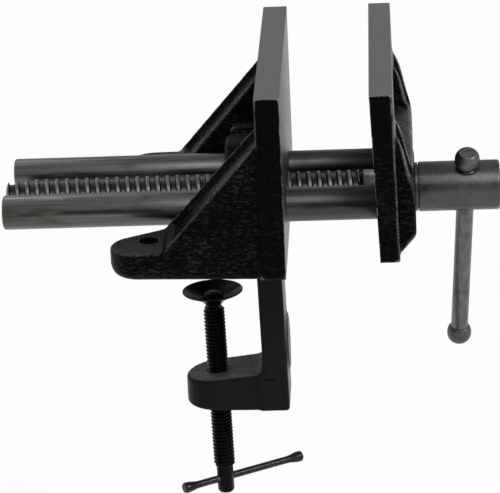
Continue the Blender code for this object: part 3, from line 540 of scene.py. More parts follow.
def black_enamel():
    """Glossy black paint with its relief, its colours and its shine."""
    paint = Finish("black_enamel", (0.002, 0.002, 0.0023), 0.30, 0.0)
    paint.shader.inputs["Specular IOR Level"].default_value = 0.03
    zone = enamel_zones(paint)
    worms = paint.noise(1.0, 1.0, paint.placed(stretch=worm_stretch), worm_bend)
    ridges = paint.mask(worms, 0.40, 0.62)
    paint.bump(paint.noise(0.6, 2.0), peel_depth)
    paint.bump(paint.times(ridges, paint.mask(zone["wrinkled"], 0, 1, 0.08, 1.0)), worm_depth)
    paint.colour(enamel_colour(paint, zone, worms))
    paint.roughness(paint.mask(paint.noise(6.0), 0.3, 0.7, 0.22, 0.32))
    return paint.done()


enamel = black_enamel()


# %% Paint inside holes
def hole_paint():
    """The same paint inside a hole, without the dust, painted sheen, painted highlights or rubbed edges."""
    paint = Finish("hole_paint", (0.002, 0.002, 0.002), 0.5, 0.0)
    paint.shader.inputs["Specular IOR Level"].default_value = 0.05
    paint.bump(paint.noise(1.0, 2.0), 0.10)
    paint.colour(paint.colours(paint.noise(2.0), (0.001, 0.001, 0.001), (0.004, 0.004, 0.004)))
    return paint.done()


inside_paint = hole_paint()

# %% [markdown]
# ## Milled iron
# The clamping faces and the tops of the jaws are cut flat after painting, so bare grey iron shows there.
# A cutter leaves fine parallel lines, which a noise squeezed to a thread along the jaw imitates. Cast iron
# also has tiny dark pits.


# %% Milled iron
def milled_iron():
    """Grey iron with cutter lines and pits."""
    metal = Finish("milled_iron", (0.22, 0.22, 0.22), 0.42, 1.0)
    lines = metal.noise(0.35, 2.0, metal.placed(stretch=(1.0, 60.0, 1.0)))
    cloud = metal.noise(16.0, 3.0)
    pits = metal.mask(metal.noise(0.8, 2.0), 0.30, 0.38)
    bare = metal.colours(cloud, (0.148, 0.148, 0.156), (0.194, 0.194, 0.202))
    metal.colour(metal.colours(pits, (0.10, 0.10, 0.10), bare))
    metal.roughness(metal.mask(lines, 0.3, 0.7, 0.38, 0.48))
    metal.bump(lines, 0.012)
    return metal.done()


iron = milled_iron()

# %% [markdown]
# ## Turned steel
# Rods, screw, hub, knobs and handle are bare steel, browned a little by handling. Drawn bars carry faint
# lines along their length and a hub or a knob is mottled, so one recipe takes a stretch for each of them.
# Used steel is never evenly dark. Each darkening is a function that gives a share at every point, and a
# finish is given a list of them: spots of grease, and painted shade and painted dark reflections in bands
# along the rods and the handle, where the rods run between the jaws and in the roots of the main thread.


# %% Turned steel
def turned_steel(name, stretch, dark, light, shade_and_grime=(), dull=(0.26, 0.42), dents=0.01):
    """Bare steel. Each entry of the list is a share of darkening, such as spots of grease and painted shade,
    made from the finish by its own function.
    """
    steel = Finish(name, dark, 0.34, 1.0)
    lines = steel.noise(0.5, 3.0, steel.placed(stretch=stretch))
    streaks = steel.noise(2.2, 2.0, steel.placed(stretch=stretch))
    stain = steel.mask(steel.noise(11.0, 4.0, steel.placed(stretch=(3.0, 1.0, 1.0)), 0.6), 0.50, 0.72)
    share = steel.sum(steel.times(lines, 0.45), steel.times(streaks, 0.55))
    tone = steel.colours(steel.mask(share, 0.34, 0.66), dark, light)
    tone = steel.colours(stain, tone, tuple(v * s for v, s in zip(dark, (0.80, 0.70, 0.60))))
    # Darkens by each share: spots of grease, and painted shade and painted dark reflections.
    for shade_and_grime_share in shade_and_grime:
        tone = steel.colours(shade_and_grime_share(steel), tone, tuple(v * 0.22 for v in dark))
    steel.colour(tone)
    steel.roughness(steel.mask(lines, 0.3, 0.7, *dull))
    steel.bump(lines, 0.012)
    steel.bump(steel.noise(0.9, 3.0), dents)
    return steel.done()


# %% Specks, on the hub and the knobs
def specks(strength):
    """Small round spots of old grease."""
    def share(steel):
        return steel.times(steel.mask(steel.noise(1.3, 2.0), 0.70, 0.76), strength)
    return share


hub_steel = turned_steel(
    "hub_steel", (6.0, 6.0, 6.0), (0.072, 0.070, 0.070), (0.102, 0.099, 0.098), [specks(0.5)])
knob_steel = turned_steel(
    "knob_steel", (3.0, 1.0, 1.0), (0.095, 0.093, 0.092), (0.16, 0.157, 0.155), [specks(0.8)],
    dull=(0.40, 0.54), dents=0.06)


# %% A painted dark band, on the handle and the rods
def painted_shade_band(axis, middle, half_width, strength, patches=(0.30, 0.55)):
    """A painted dark band along a bar, at one height or side in millimetres, a little wavy and broken: shade
    down one side of the handle and dark reflections along the rods.
    """
    def share(steel):
        wave = steel.times(steel.sum(steel.noise(25.0, 1.0), -0.5), half_width)
        off = steel.sum(steel.sum(steel.along(steel.placed(), axis), -middle), wave)
        band = steel.mask(steel.size_of(off), half_width, half_width * 0.3)
        broken = steel.mask(steel.noise(5.0, 2.0, steel.placed(stretch=(6.0, 1.0, 1.0))), *patches)
        return steel.times(band, broken, strength)
    return share


handle_middle = middle_of("handle_bar") / millimetre
# Painted shade down the left side of the handle bar.
handle_painted_shade = [painted_shade_band(0, handle_middle.x - 3.2, 1.4, 0.60, (0.15, 0.42))]
handle_steel = turned_steel(
    "handle_steel", (1.0, 1.0, 60.0), (0.10, 0.099, 0.098), (0.165, 0.163, 0.161), handle_painted_shade)


# %% Painted shade towards one end, on the guide rods
def painted_shade_along_rod(start, end, strength):
    """Painted shade that sets in along a rod, from none at start to full at end, where the rods run between
    the jaws.
    """
    def share(steel):
        reach = steel.sum(steel.along(steel.placed(), 0), steel.times(steel.noise(9.0, 3.0), 14.0))
        return steel.mask(reach, start, end, 0.0, strength)
    return share


rod_middle = middle_of("guide_rod_near") / millimetre
# Painted dark reflections: two thin lines along the front of each rod and a broad band just above its middle;
# painted shade between the jaws; and spots of grease.
rod_shade_and_specks = [painted_shade_band(1, side * rod_middle.y - 2.9, 0.8, 0.6) for side in (-1, 1)]
rod_shade_and_specks += [painted_shade_band(2, rod_middle.z + 1.6, 1.8, 0.85, (0.38, 0.60))]
rod_shade_and_specks += [painted_shade_along_rod(12.0, 34.0, 0.50), specks(0.8)]
rod_steel = turned_steel(
    "drawn_steel", (60.0, 1.0, 1.0), (0.096, 0.094, 0.092), (0.160, 0.157, 0.155), rod_shade_and_specks)


# %% Painted shade in the roots, on the main screw
def painted_root_shade(axis_place, drop, root, crest, strength):
    """Painted shade in the roots of a thread, darkest in a band above the middle."""
    def share(steel):
        place = steel.placed(centre=axis_place)
        low_place = steel.mask(steel.away(place, drop), root, crest, 1.0, 0.0)
        band = steel.mask(steel.size_of(steel.sum(steel.along(place, 2), -5.2)), 2.2, 0.8)
        return steel.times(low_place, steel.mask(band, 0, 1, 0.55 * strength, strength))
    return share


# Painted shade in the thread's roots, and spots of grease.
screw_shade_and_specks = [painted_root_shade(tuple(middle_of("screw_hub")), "X", 6.5, 8.2, 0.95), specks(0.6)]
screw_steel = turned_steel(
    "screw_steel", (1.0, 1.0, 1.0), (0.12, 0.117, 0.113), (0.22, 0.216, 0.21), screw_shade_and_specks)

# %% [markdown]
# ## Black oxide
# The bench clamp's screw, pad and tommy bar are blackened steel. The coat is thin and rubs off first on
# thread crests and rims, where the curvature of the mesh is highest. The bar is what the hand holds, so it
# has a glossier coat than the thread and the pad, and a paler one, partly rubbed by hands and partly a
# painted highlight.


# %% Black oxide
def black_oxide(name, gloss, deep, pale):
    """Blackened steel, rubbed on its crests and rims."""
    steel = Finish(name, deep, 0.34, 0.4)
    steel.shader.inputs["Specular IOR Level"].default_value = gloss
    rubbed = steel.times(steel.edges(0.56, 0.66), steel.mask(steel.noise(3.0), 0.44, 0.64))
    tone = steel.colours(steel.noise(4.0), deep, pale)
    steel.colour(steel.colours(rubbed, tone, (0.10, 0.097, 0.095)))
    steel.roughness(steel.mask(steel.noise(2.5), 0.3, 0.7, 0.24, 0.38))
    steel.bump(steel.noise(0.6, 3.0), 0.015)
    return steel.done()


blacked = black_oxide("black_oxide", 0.08, (0.0012, 0.0012, 0.0014), (0.0065, 0.0065, 0.007))
# Paler than black_oxide: partly handling wear, partly a painted highlight on the tommy bar and its beads.
highlit_rubbed_black = black_oxide("rubbed_oxide", 0.30, (0.006, 0.006, 0.007), (0.020, 0.020, 0.021))

# %% [markdown]
# ## Bronze
# The main nut sits in the fixed jaw, where nobody sees it. Bronze runs well against steel, so such a nut is
# often turned from it, and a brown patina covers what the lathe left.


# %% Bronze
def nut_bronze():
    """Turned bronze under a brown patina."""
    metal = Finish("nut_bronze", (0.33, 0.22, 0.10), 0.40, 1.0)
    rings = metal.noise(0.4, 2.0, metal.placed(stretch=(1.0, 30.0, 30.0)))
    patina = metal.mask(metal.noise(3.0), 0.4, 0.7)
    metal.colour(metal.colours(patina, (0.34, 0.23, 0.11), (0.16, 0.11, 0.06)))
    metal.roughness(metal.mask(rings, 0.3, 0.7, 0.32, 0.50))
    metal.bump(rings, 0.015)
    return metal.done()


bronze = nut_bronze()

# %% [markdown]
# ## Mesh helpers
# Two ways of making solids cover nearly everything here. A lathe turns a profile of (distance, radius)
# pairs about an axis, which is how the rods, the hub and the knobs are really made. A caster takes the CAD
# solid, fills its drilled holes, adds stock where the real casting is milled later, and rebuilds the skin
# from small voxels, so that its corners can be softened. All solids are built as bmeshes, because several
# can be put in one before it becomes an object.


# %% Lathe
def side_vectors(direction):
    """A direction and two more that are square to it and to each other."""
    along = Vector(direction).normalized()
    guide = Vector((0, 0, 1)) if abs(along.z) < 0.7 else Vector((1, 0, 0))
    first = guide.cross(along).normalized()
    return along, first, along.cross(first)


def add_turned(shape, profile, start, direction, sides, ring=False):
    """A closed solid of revolution in a bmesh, from (distance, radius) pairs. A ring has a hole."""
    along, first, second = side_vectors(direction)
    points = list(profile)
    if ring:
        points.append(points[0])
    else:
        if points[0][1] > 0:
            points.insert(0, (points[0][0], 0))
        if points[-1][1] > 0:
            points.append((points[-1][0], 0))
    rows = []
    for distance, radius in points:
        centre = Vector(start) + along * distance
        if radius == 0:
            rows.append([shape.verts.new(centre)] * sides)
            continue
        angles = [2 * math.pi * step / sides for step in range(sides)]
        rows.append([shape.verts.new(centre + (first * math.cos(a) + second * math.sin(a)) * radius)
                     for a in angles])
    if ring:
        rows[-1] = rows[0]
    for low, high in zip(rows, rows[1:]):
        for step in range(sides):
            after = (step + 1) % sides
            loop = dict.fromkeys((low[step], low[after], high[after], high[step]))
            if len(loop) > 2:
                shape.faces.new(list(loop))
    bmesh.ops.delete(shape, geom=[v for v in shape.verts if not v.link_faces], context="VERTS")
    return shape


def add_cylinder(shape, start, direction, length, radius, sides=72):
    """A plain cylinder in a bmesh."""
    return add_turned(shape, [(0, radius), (length, radius)], start, direction, sides)


def cylinder(start, direction, length, radius, sides=72):
    """A plain cylinder as a bmesh of its own."""
    return add_cylinder(bmesh.new(), start, direction, length, radius, sides)


test_bar = cylinder((0, 0, 0), (1, 0, 0), 1, 1)
print("a plain cylinder has", len(test_bar.faces), "faces")
test_bar.free()


# %% Smooth profiles
def smoothed(points, steps=5):
    """A smooth curve through the points, with steps between each pair."""
    known = [Vector(p) for p in points]
    known = [known[0] * 2 - known[1]] + known + [known[-1] * 2 - known[-2]]
    curve = []
    for a, b, c, d in zip(known, known[1:], known[2:], known[3:]):
        for step in range(steps):
            t = step / steps
            bend = (a * 2 - b * 5 + c * 4 - d) * t * t + (b * 3 - a - c * 3 + d) * t ** 3
            curve.append(tuple((b * 2 + (c - a) * t + bend) / 2))
    return curve + [tuple(points[-1])]


def round_edge(distance, radius, size, opening):
    """Profile points of a rounded rim. opening is +1 where the profile grows and -1 where it shrinks."""
    points = []
    for step in range(5):
        angle = math.pi / 2 * step / 4
        inward = size * (1 - math.sin(angle))
        back = size * (1 - math.cos(angle))
        points.append((distance + back if opening > 0 else distance - back, radius - inward))
    return points if opening > 0 else points[::-1]


print("two points smoothed:", smoothed([(0, 0), (1, 1)], 2))


# %% Prisms, lofts and blocks
def add_prism(shape, outline, low, high):
    """A closed solid with an outline of (x, z) pairs, from low to high along Y."""
    near = [shape.verts.new((x, low, z)) for x, z in outline]
    far = [shape.verts.new((x, high, z)) for x, z in outline]
    shape.faces.new(near)
    shape.faces.new(far[::-1])
    for step in range(len(outline)):
        after = (step + 1) % len(outline)
        shape.faces.new((near[step], far[step], far[after], near[after]))
    return shape


def add_loft(shape, first, last):
    """A closed solid between two outlines with as many points."""
    start = [shape.verts.new(point) for point in first]
    end = [shape.verts.new(point) for point in last]
    shape.faces.new(start)
    shape.faces.new(end[::-1])
    for step in range(len(start)):
        after = (step + 1) % len(start)
        shape.faces.new((start[step], end[step], end[after], start[after]))
    return shape


def add_block(shape, low, high):
    """A box between two corners in a bmesh."""
    made = bmesh.ops.create_cube(shape, size=1.0)["verts"]
    low, high = Vector(low), Vector(high)
    size, middle = high - low, (high + low) / 2
    for vert in made:
        vert.co = Vector([vert.co[i] * size[i] + middle[i] for i in range(3)])
    return shape


def block(low, high):
    """A box as a bmesh of its own."""
    return add_block(bmesh.new(), low, high)


test_block = block((0, 0, 0), (1, 2, 3))
print("a block's last corner:", tuple(max(vert.co[axis] for vert in test_block.verts) for axis in range(3)))
test_block.free()

# %% Objects
weld_distance = 0.002 * millimetre


def to_object(shape, name, materials, smooth_angle=35.0):
    """A bmesh as an object at the origin, with outward faces and smooth shading up to an angle."""
    bmesh.ops.remove_doubles(shape, verts=shape.verts, dist=weld_distance)
    bmesh.ops.recalc_face_normals(shape, faces=shape.faces)
    mesh = bpy.data.meshes.new(name)
    shape.to_mesh(mesh)
    shape.free()
    for material in materials:
        mesh.materials.append(material)
    mesh.set_sharp_from_angle(angle=math.radians(smooth_angle))
    item = bpy.data.objects.new(name, mesh)
    bpy.context.scene.collection.objects.link(item)
    return item


def settled(item):
    """Puts what the modifiers make into the mesh and takes them away."""
    bpy.context.view_layer.update()
    graph = bpy.context.evaluated_depsgraph_get()
    item.data = bpy.data.meshes.new_from_object(item.evaluated_get(graph))
    item.modifiers.clear()
    return item


def dress(item, body, slot, *nodes):
    """Seats a finished piece in the frame."""
    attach(item, body)
    if nodes:
        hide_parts(*nodes)
    item.data.calc_loop_triangles()
    print(item.name, "has", len(item.data.loop_triangles), "triangles")
    return item


print("corners closer than", mm(weld_distance, 4), "mm are welded")

# %% [markdown]
# ## From casting to machined part
# The foundry gives a rough shape with rounded edges and filleted corners, and the machine shop cuts the
# faces and bores that must be true. The same order works here. Voxels join all the solids in one skin,
# averaging each point with its neighbours rounds the edges, and letting only hollow places grow outwards
# leaves fillets. After that, one Boolean cut mills and drills, and its faces bring their own material.

# %% Machining
def machined(item, cutters, sharp_angle=32.0, painted=()):
    """Takes closed cutters from the casting. Cut faces take the second material, painted ones the third."""
    tools = []
    for shape, finish in [(cutter, 1) for cutter in cutters] + [(cutter, 2) for cutter in painted]:
        tool = to_object(shape, "cutter", list(item.data.materials))
        for face in tool.data.polygons:
            face.material_index = finish
        change = item.modifiers.new("machine", "BOOLEAN")
        change.operation = "DIFFERENCE"
        change.solver = "MANIFOLD"
        change.object = tool
        tools.append(tool)
    settled(item)
    for tool in tools:
        bpy.data.objects.remove(tool, do_unlink=True)
    item.data.set_sharp_from_angle(angle=math.radians(sharp_angle))
    return item


def carved_copy(node, cutters, materials):
    """The CAD solid of a node as a new bmesh, with deeper hollows cut into it."""
    source = bmesh.new()
    source.from_mesh(frame["nodes"][node].data)
    item = to_object(source, "carved", materials)
    machined(item, cutters)
    shape = bmesh.new()
    shape.from_mesh(item.data)
    bpy.data.objects.remove(item, do_unlink=True)
    return shape


print("faces in the fixed jaw's solid:", len(frame["nodes"]["fixed_jaw"].data.polygons))


# %% Fillets and rounded edges
fillet_pace = 0.9
edge_pace = 0.5


def soften(mesh, fillet_passes, edge_passes):
    """Grows fillets in hollow corners, then rounds every edge a little."""
    count = len(mesh.vertices)
    points = np.empty(count * 3)
    mesh.vertices.foreach_get("co", points)
    points = points.reshape(-1, 3)
    ends = np.empty(len(mesh.edges) * 2, int)
    mesh.edges.foreach_get("vertices", ends)
    ends = ends.reshape(-1, 2)
    both = np.concatenate([ends, ends[:, ::-1]])
    links = np.bincount(both[:, 0], minlength=count)[:, None]

    def pull(now):
        """From each point to the mean of its neighbours."""
        total = np.stack([np.bincount(both[:, 0], now[both[:, 1], axis], count) for axis in range(3)], 1)
        return total / links - now

    def store(now):
        mesh.vertices.foreach_set("co", now.ravel())
        mesh.update()

    for step in range(fillet_passes):
        if step % 4 == 0:
            store(points)
            normals = np.array([tuple(v.vector) for v in mesh.vertex_normals])
        move = pull(points)
        lift = np.maximum(0.0, (move * normals).sum(1, keepdims=True))
        points = points + normals * lift * fillet_pace
    for step in range(edge_passes):
        points = points + pull(points) * edge_pace
    store(points)


# %% Casting
voxel_size = 0.62 * millimetre
casting_triangles = 120_000
fillet_passes = 26
edge_passes = 3


def cast(shape, name, materials):
    """One skin round all the solids in a bmesh, softened like a casting."""
    item = to_object(shape, name, materials)
    rebuild = item.modifiers.new("voxels", "REMESH")
    rebuild.mode = "VOXEL"
    rebuild.voxel_size = voxel_size
    settled(item)
    soften(item.data, fillet_passes, edge_passes)
    faces = len(item.data.polygons) * 2
    thin = item.modifiers.new("thin", "DECIMATE")
    thin.ratio = min(1.0, casting_triangles / faces)
    settled(item)
    print(name, "cast with", faces, "triangles, thinned to", len(item.data.polygons))
    return item


print("voxels of", mm(voxel_size, 2), "mm")

# %% [markdown]
# ## Sizes
# Most places are read from the frame, so the dressing follows the solids if they move. The few that the
# frame doesn't state are named here or beside the piece that they belong to.

# %% Boxes, joints and mounts
jaw_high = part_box("fixed_jaw")[1]
slide_low, slide_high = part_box("moving_jaw")
near_low, near_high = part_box("guide_rod_near")
far_low, far_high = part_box("guide_rod_far")
nut_low, nut_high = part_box("main_nut")
hub_low, hub_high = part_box("screw_hub")
joints = {joint["name"]: joint for joint in frame["joints"]}
mounts = {mount["name"]: mount for mount in frame["record"]["mounts"]}
openings = {space["name"]: space["box_m"] for space in frame["record"]["physics"]["openings"]}
print("joints:", ", ".join(joints))

# %% Workshop sizes
fit_gap = 0.3 * millimetre
overrun = 3.0 * millimetre
mill_stock = 1.2 * millimetre
plug_grow = 0.8 * millimetre
plug_inset = 0.4 * millimetre
well_clear = 100.0 * millimetre
print("cutters run", mm(overrun), "mm past the iron")

# %% Rods and main screw
rod_radius = (near_high.z - near_low.z) / 2
rod_height = (near_high.z + near_low.z) / 2
rod_sides = [(near_low.y + near_high.y) / 2, (far_low.y + far_high.y) / 2]
screw_height = joints["spindle_turn"]["pos_m"][2]
screw_radius = 8.5 * millimetre
print("rods", mm(2 * rod_radius, 2), "mm across,", mm(rod_height, 2), "mm up")

# %% Jaw plate
clamp_face_x = mounts["fixed_jaw_face"]["pos_m"][0]
plate_back_x = clamp_face_x - 11.0 * millimetre
jaw_side = jaw_high.y
past_side = 1.1 * jaw_side
print("jaws", mm(2 * jaw_side), "mm long")

# %% Clamp screw's axis
clamp_axis = Vector(joints["clamp_turn"]["axis"])
clamp_place = Vector(joints["clamp_turn"]["pos_m"])
clamp_screw_radius = 4.95 * millimetre


def clamp_spot(height):
    """Point of the clamp screw's axis at a height."""
    return clamp_place + clamp_axis * ((height - clamp_place.z) / clamp_axis.z)


print("clamp screw leans", round(math.degrees(clamp_axis.angle(Vector((0, 0, 1)))), 2), "degrees")

# %% [markdown]
# ## Fixed jaw
# One iron casting carries the jaw plate, two gussets that run down to the screw-down lugs, three bosses
# for rods and nut, and the column and arm of the bench clamp. It could be modelled face by face, but then
# each fillet would be work of its own. As a casting it starts from the CAD solid, with deeper gussets,
# plugs in its bores and stock on the clamping face and the top edge, to be milled off.

# %% Gussets
gusset_head = Vector((plate_back_x, 0, 61.4 * millimetre))
lug_thickness = 13.1 * millimetre
gusset_foot = Vector((clamp_face_x - 54.0 * millimetre, 0, lug_thickness))
gusset_inner = (36.8 * millimetre, 42.0 * millimetre)
gusset_outer = (73.2 * millimetre, 74.2 * millimetre)
gusset_rim = 1.9 * millimetre
gusset_depth = 2.3 * millimetre
gusset_reach_shares = (0.06, 1.0)


def gusset_channels():
    """The hollow between the two rims of each gusset, deeper than in the solid."""
    run = gusset_head - gusset_foot
    square = Vector((-run.z, 0, run.x)).normalized()
    hollows = []
    for side in (-1, 1):
        rows = []
        for edge, rim in ((gusset_inner, gusset_rim), (gusset_outer, -gusset_rim)):
            row = []
            for share, lift in ((0, -gusset_depth), (1, -gusset_depth), (1, overrun), (0, overrun)):
                along = gusset_reach_shares[0] + share * (gusset_reach_shares[1] - gusset_reach_shares[0])
                spot = gusset_foot + run * along + square * lift
                spot.y = side * (edge[0] + (edge[1] - edge[0]) * along + rim)
                row.append(spot)
            rows.append(row)
        hollows.append(add_loft(bmesh.new(), *rows))
    return hollows


print("gussets slope over", mm((gusset_head - gusset_foot).length), "mm")

# %% Lug holes and arm
lug_hole_radius = 4.6 * millimetre
lug_spots = []
for opening_name in ("lug_hole_near", "lug_hole_far"):
    low, high = (Vector(corner) for corner in openings[opening_name])
    lug_spots.append((low + high) / 2)
arm_top = clamp_place.z
arm_foot = -86.2 * millimetre
print("lug holes at y", [mm(spot.y) for spot in lug_spots], "mm")

# %% Rough fixed jaw
boss_x = nut_low.x + 0.8 * millimetre
boss_radius = 15.5 * millimetre
nut_housing_radius = 15.0 * millimetre
boss_chamfer = 1.0 * millimetre
bosses = [(side, rod_height, boss_radius) for side in rod_sides] + [(0, screw_height, nut_housing_radius)]


def fixed_jaw_shape():
    """The CAD solid with its bores filled, round bosses and stock to mill off."""
    shape = carved_copy("fixed_jaw", gusset_channels(), [enamel, iron])
    add_block(
        shape,
        (plate_back_x, -jaw_side, 0),
        (clamp_face_x + mill_stock, jaw_side, jaw_high.z + mill_stock),
    )
    reach = clamp_face_x - boss_x
    for side, height, radius in bosses:
        round_boss = [(0, radius - boss_chamfer), (boss_chamfer, radius), (reach, radius)]
        add_turned(shape, round_boss, (boss_x, side, height), (1, 0, 0), 96)
    for spot in lug_spots:
        foot = (spot.x, spot.y, plug_inset)
        add_cylinder(shape, foot, (0, 0, 1), lug_thickness - 2 * plug_inset, lug_hole_radius + plug_grow, 48)
    plug = clamp_screw_radius + fit_gap + plug_grow
    length = arm_top - arm_foot - 2 * plug_inset
    add_cylinder(shape, clamp_spot(arm_foot + plug_inset), clamp_axis, length, plug, 48)
    return shape


fixed_casting = cast(fixed_jaw_shape(), "fixed_casting", [enamel, iron, inside_paint])


# %% Milling and drilling the fixed jaw
def fixed_jaw_cutters():
    """Milling and drilling, each as a closed cutter."""
    through = clamp_face_x - boss_x + 2 * overrun
    start_x = boss_x - overrun
    face_low = (clamp_face_x, -past_side, -overrun)
    top_low = (plate_back_x - overrun, -past_side, jaw_high.z)
    cutters = [
        block(face_low, (clamp_face_x + overrun, past_side, well_clear)),
        block(top_low, (2 * clamp_face_x, past_side, well_clear)),
    ]
    for side in rod_sides:
        cutters.append(cylinder((start_x, side, rod_height), (1, 0, 0), through, rod_radius + fit_gap))
    cutters.append(cylinder((start_x, 0, screw_height), (1, 0, 0), through, screw_radius + 2 * fit_gap))
    pocket = nut_high.x + 2 * fit_gap - start_x
    cutters.append(cylinder((start_x, 0, screw_height), (1, 0, 0), pocket, nut_high.y + fit_gap))
    set_low, set_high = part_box("nut_set_screw")
    set_radius = (set_high.x - set_low.x) / 2 + fit_gap
    set_start = (middle_of("nut_set_screw").x, 0, set_low.z - fit_gap)
    cutters.append(cylinder(set_start, (0, 0, 1), 3 * overrun, set_radius, 48))
    length = arm_top - arm_foot + 4 * overrun
    bore = clamp_screw_radius + fit_gap
    cutters.append(cylinder(clamp_spot(arm_foot - 2 * overrun), clamp_axis, length, bore, 64))
    return cutters


iron_cuts = fixed_jaw_cutters()
print("cuts with bare iron:", len(iron_cuts))

# %% Painted hollows of the fixed jaw
casting_line = (
    Vector((7.4, -16.6, -70.5)) * millimetre,
    Vector((12.6, -15.5, -69.9)) * millimetre,
)


def painted_cuts():
    """The cast holes of the lugs and the short line where the mould's halves met on the column."""
    holes = [block(*casting_line)]
    for spot in lug_spots:
        foot = (spot.x, spot.y, -overrun)
        holes.append(cylinder(foot, (0, 0, 1), lug_thickness + 2 * overrun, lug_hole_radius, 64))
    return holes


machined(fixed_casting, iron_cuts, painted=painted_cuts())
dress(fixed_casting, "fixed_frame", "black_enamel", "fixed_jaw")

# %% [markdown]
# ## Moving jaw
# The second casting is pinned to the guide rods. Its clamping face leans a little, as on the real vise,
# so that the tops of the jaws meet first and the faces close flat under load. It is made the same way as
# the first one: deeper ribs, plugs and stock, one skin, and then the machine shop.

# %% Leaning face
face_spot = Vector(mounts["moving_jaw_face"]["pos_m"])
face_axis = Vector(mounts["moving_jaw_face"]["axis"])
face_slope = face_axis.z / face_axis.x


def moving_face_x(height):
    """X of the leaning clamping face at a height."""
    return face_spot.x + (face_spot.z - height) * face_slope


print("the face leans", round(math.degrees(math.atan(face_slope)), 2), "degrees")

# %% Ribs
rib_rim = 2.6 * millimetre
rib_depth = 2.4 * millimetre
rib_sides = (40.0 * millimetre, 66.0 * millimetre)
# As (x, z): the low outer corner of a rib, and how far its curved edge runs from there.
rib_low = Vector((79.4, 15.2)) * millimetre
rib_size = Vector((8.47, 47.0)) * millimetre
rib_shares = (
    (0.150, 0.960),
    (0.245, 0.925),
    (0.400, 0.850),
    (0.520, 0.765),
    (0.625, 0.680),
    (0.755, 0.580),
    (0.875, 0.495),
)


def rib_channels():
    """The hollow along the curved edge of each rib."""
    start_x = rib_low.x - rib_size.x
    curve = [Vector((start_x + rib_size.x * out, rib_low.y + rib_size.y * up)) for out, up in rib_shares]
    run = curve[-1] - curve[0]
    square = Vector((-run.y, run.x)).normalized()
    outline = [spot - square * rib_depth for spot in curve]
    outline += [spot + square * overrun for spot in curve[::-1]]
    hollows = []
    for side in (-1, 1):
        low = min(side * rib_sides[0], side * rib_sides[1]) + rib_rim
        high = max(side * rib_sides[0], side * rib_sides[1]) - rib_rim
        hollows.append(add_prism(bmesh.new(), outline, low, high))
    return hollows


print("ribs", mm(rib_sides[1] - rib_sides[0]), "mm wide")

# %% Rough moving jaw
hub_boss_radius = 14.6 * millimetre
hub_face_x = slide_high.x
plate_thin = 8.8 * millimetre
plate_foot = 6.3 * millimetre
top_width = 10.1 * millimetre
rod_socket_floor = 0.6 * millimetre
pin_low, pin_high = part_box("rod_pin_near")
rod_pin_radius = (pin_high.x - pin_low.x) / 2
rod_pin_x = (pin_high.x + pin_low.x) / 2


def moving_jaw_shape():
    """The CAD solid with its bores filled, a full boss for the hub and stock to mill off."""
    shape = carved_copy("moving_jaw", rib_channels(), [enamel, iron])
    foot, top = plate_foot, slide_high.z
    stock = [
        (moving_face_x(foot) - mill_stock, foot),
        (moving_face_x(foot) + plate_thin / 2, foot),
        (moving_face_x(top) + plate_thin / 2, top),
        (slide_low.x + top_width, top),
        (slide_low.x + top_width, top + mill_stock),
        (moving_face_x(top) - mill_stock, top + mill_stock),
    ]
    add_prism(shape, stock, -jaw_side, jaw_side)
    start_x = moving_face_x(screw_height) - mill_stock
    for side in rod_sides:
        length = slide_high.x - rod_socket_floor - plug_inset - start_x
        plug = rod_radius + fit_gap + plug_grow
        add_cylinder(shape, (start_x, side, rod_height), (1, 0, 0), length, plug, 48)
        radius = rod_pin_radius + fit_gap + plug_grow
        foot_spot = (rod_pin_x, side, pin_low.z - 2 * fit_gap)
        add_cylinder(shape, foot_spot, (0, 0, 1), pin_high.z - pin_low.z, radius, 24)
    length = hub_face_x + mill_stock - start_x
    add_cylinder(shape, (start_x, 0, screw_height), (1, 0, 0), length, hub_boss_radius, 96)
    return shape


moving_casting = cast(moving_jaw_shape(), "moving_casting", [enamel, iron])

# %% Milling and drilling the moving jaw
collar_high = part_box("screw_collar")[1]


def moving_jaw_cutters():
    """The leaning face, the top, the hub's seat, and the bores for rods, pins, screw and collar."""
    low_z, high_z = slide_low.z - 3 * overrun, slide_high.z + 3 * overrun
    face = [
        (moving_face_x(low_z) - overrun, low_z),
        (moving_face_x(low_z), low_z),
        (moving_face_x(high_z), high_z),
        (moving_face_x(high_z) - overrun, high_z),
    ]
    top_low = (slide_low.x - 2 * overrun, -past_side, slide_high.z)
    cutters = [
        add_prism(bmesh.new(), face, -past_side, past_side),
        block(top_low, (slide_high.x, past_side, well_clear)),
        cylinder((hub_face_x, 0, screw_height), (1, 0, 0), overrun, hub_boss_radius + overrun),
    ]
    start_x = slide_low.x - overrun
    through = slide_high.x + 2 * overrun - start_x
    for side in rod_sides:
        cutters.append(cylinder((start_x, side, rod_height), (1, 0, 0), through, rod_radius + fit_gap))
        foot_spot = (rod_pin_x, side, pin_low.z - overrun)
        length = overrun + pin_high.z - pin_low.z + fit_gap
        cutters.append(cylinder(foot_spot, (0, 0, 1), length, rod_pin_radius + fit_gap, 32))
    cutters.append(cylinder((start_x, 0, screw_height), (1, 0, 0), through, screw_radius + fit_gap))
    pocket = collar_high.x + fit_gap - start_x
    cutters.append(cylinder((start_x, 0, screw_height), (1, 0, 0), pocket, collar_high.y + 2 * fit_gap))
    return cutters


machined(moving_casting, moving_jaw_cutters())
dress(moving_casting, "sliding_jaw", "black_enamel", "moving_jaw")

# %% [markdown]
# ## Guide rods
# Each rod is a drawn steel bar, faced and chamfered on a lathe, so its profile is all there is to it: a
# chamfer at both ends and the small dimple that the lathe's centre left. Both rods come from one profile.

# %% Profile of a bar
rod_chamfer = 0.9 * millimetre
centre_depth = 1.6 * millimetre
centre_radius = 1.7 * millimetre


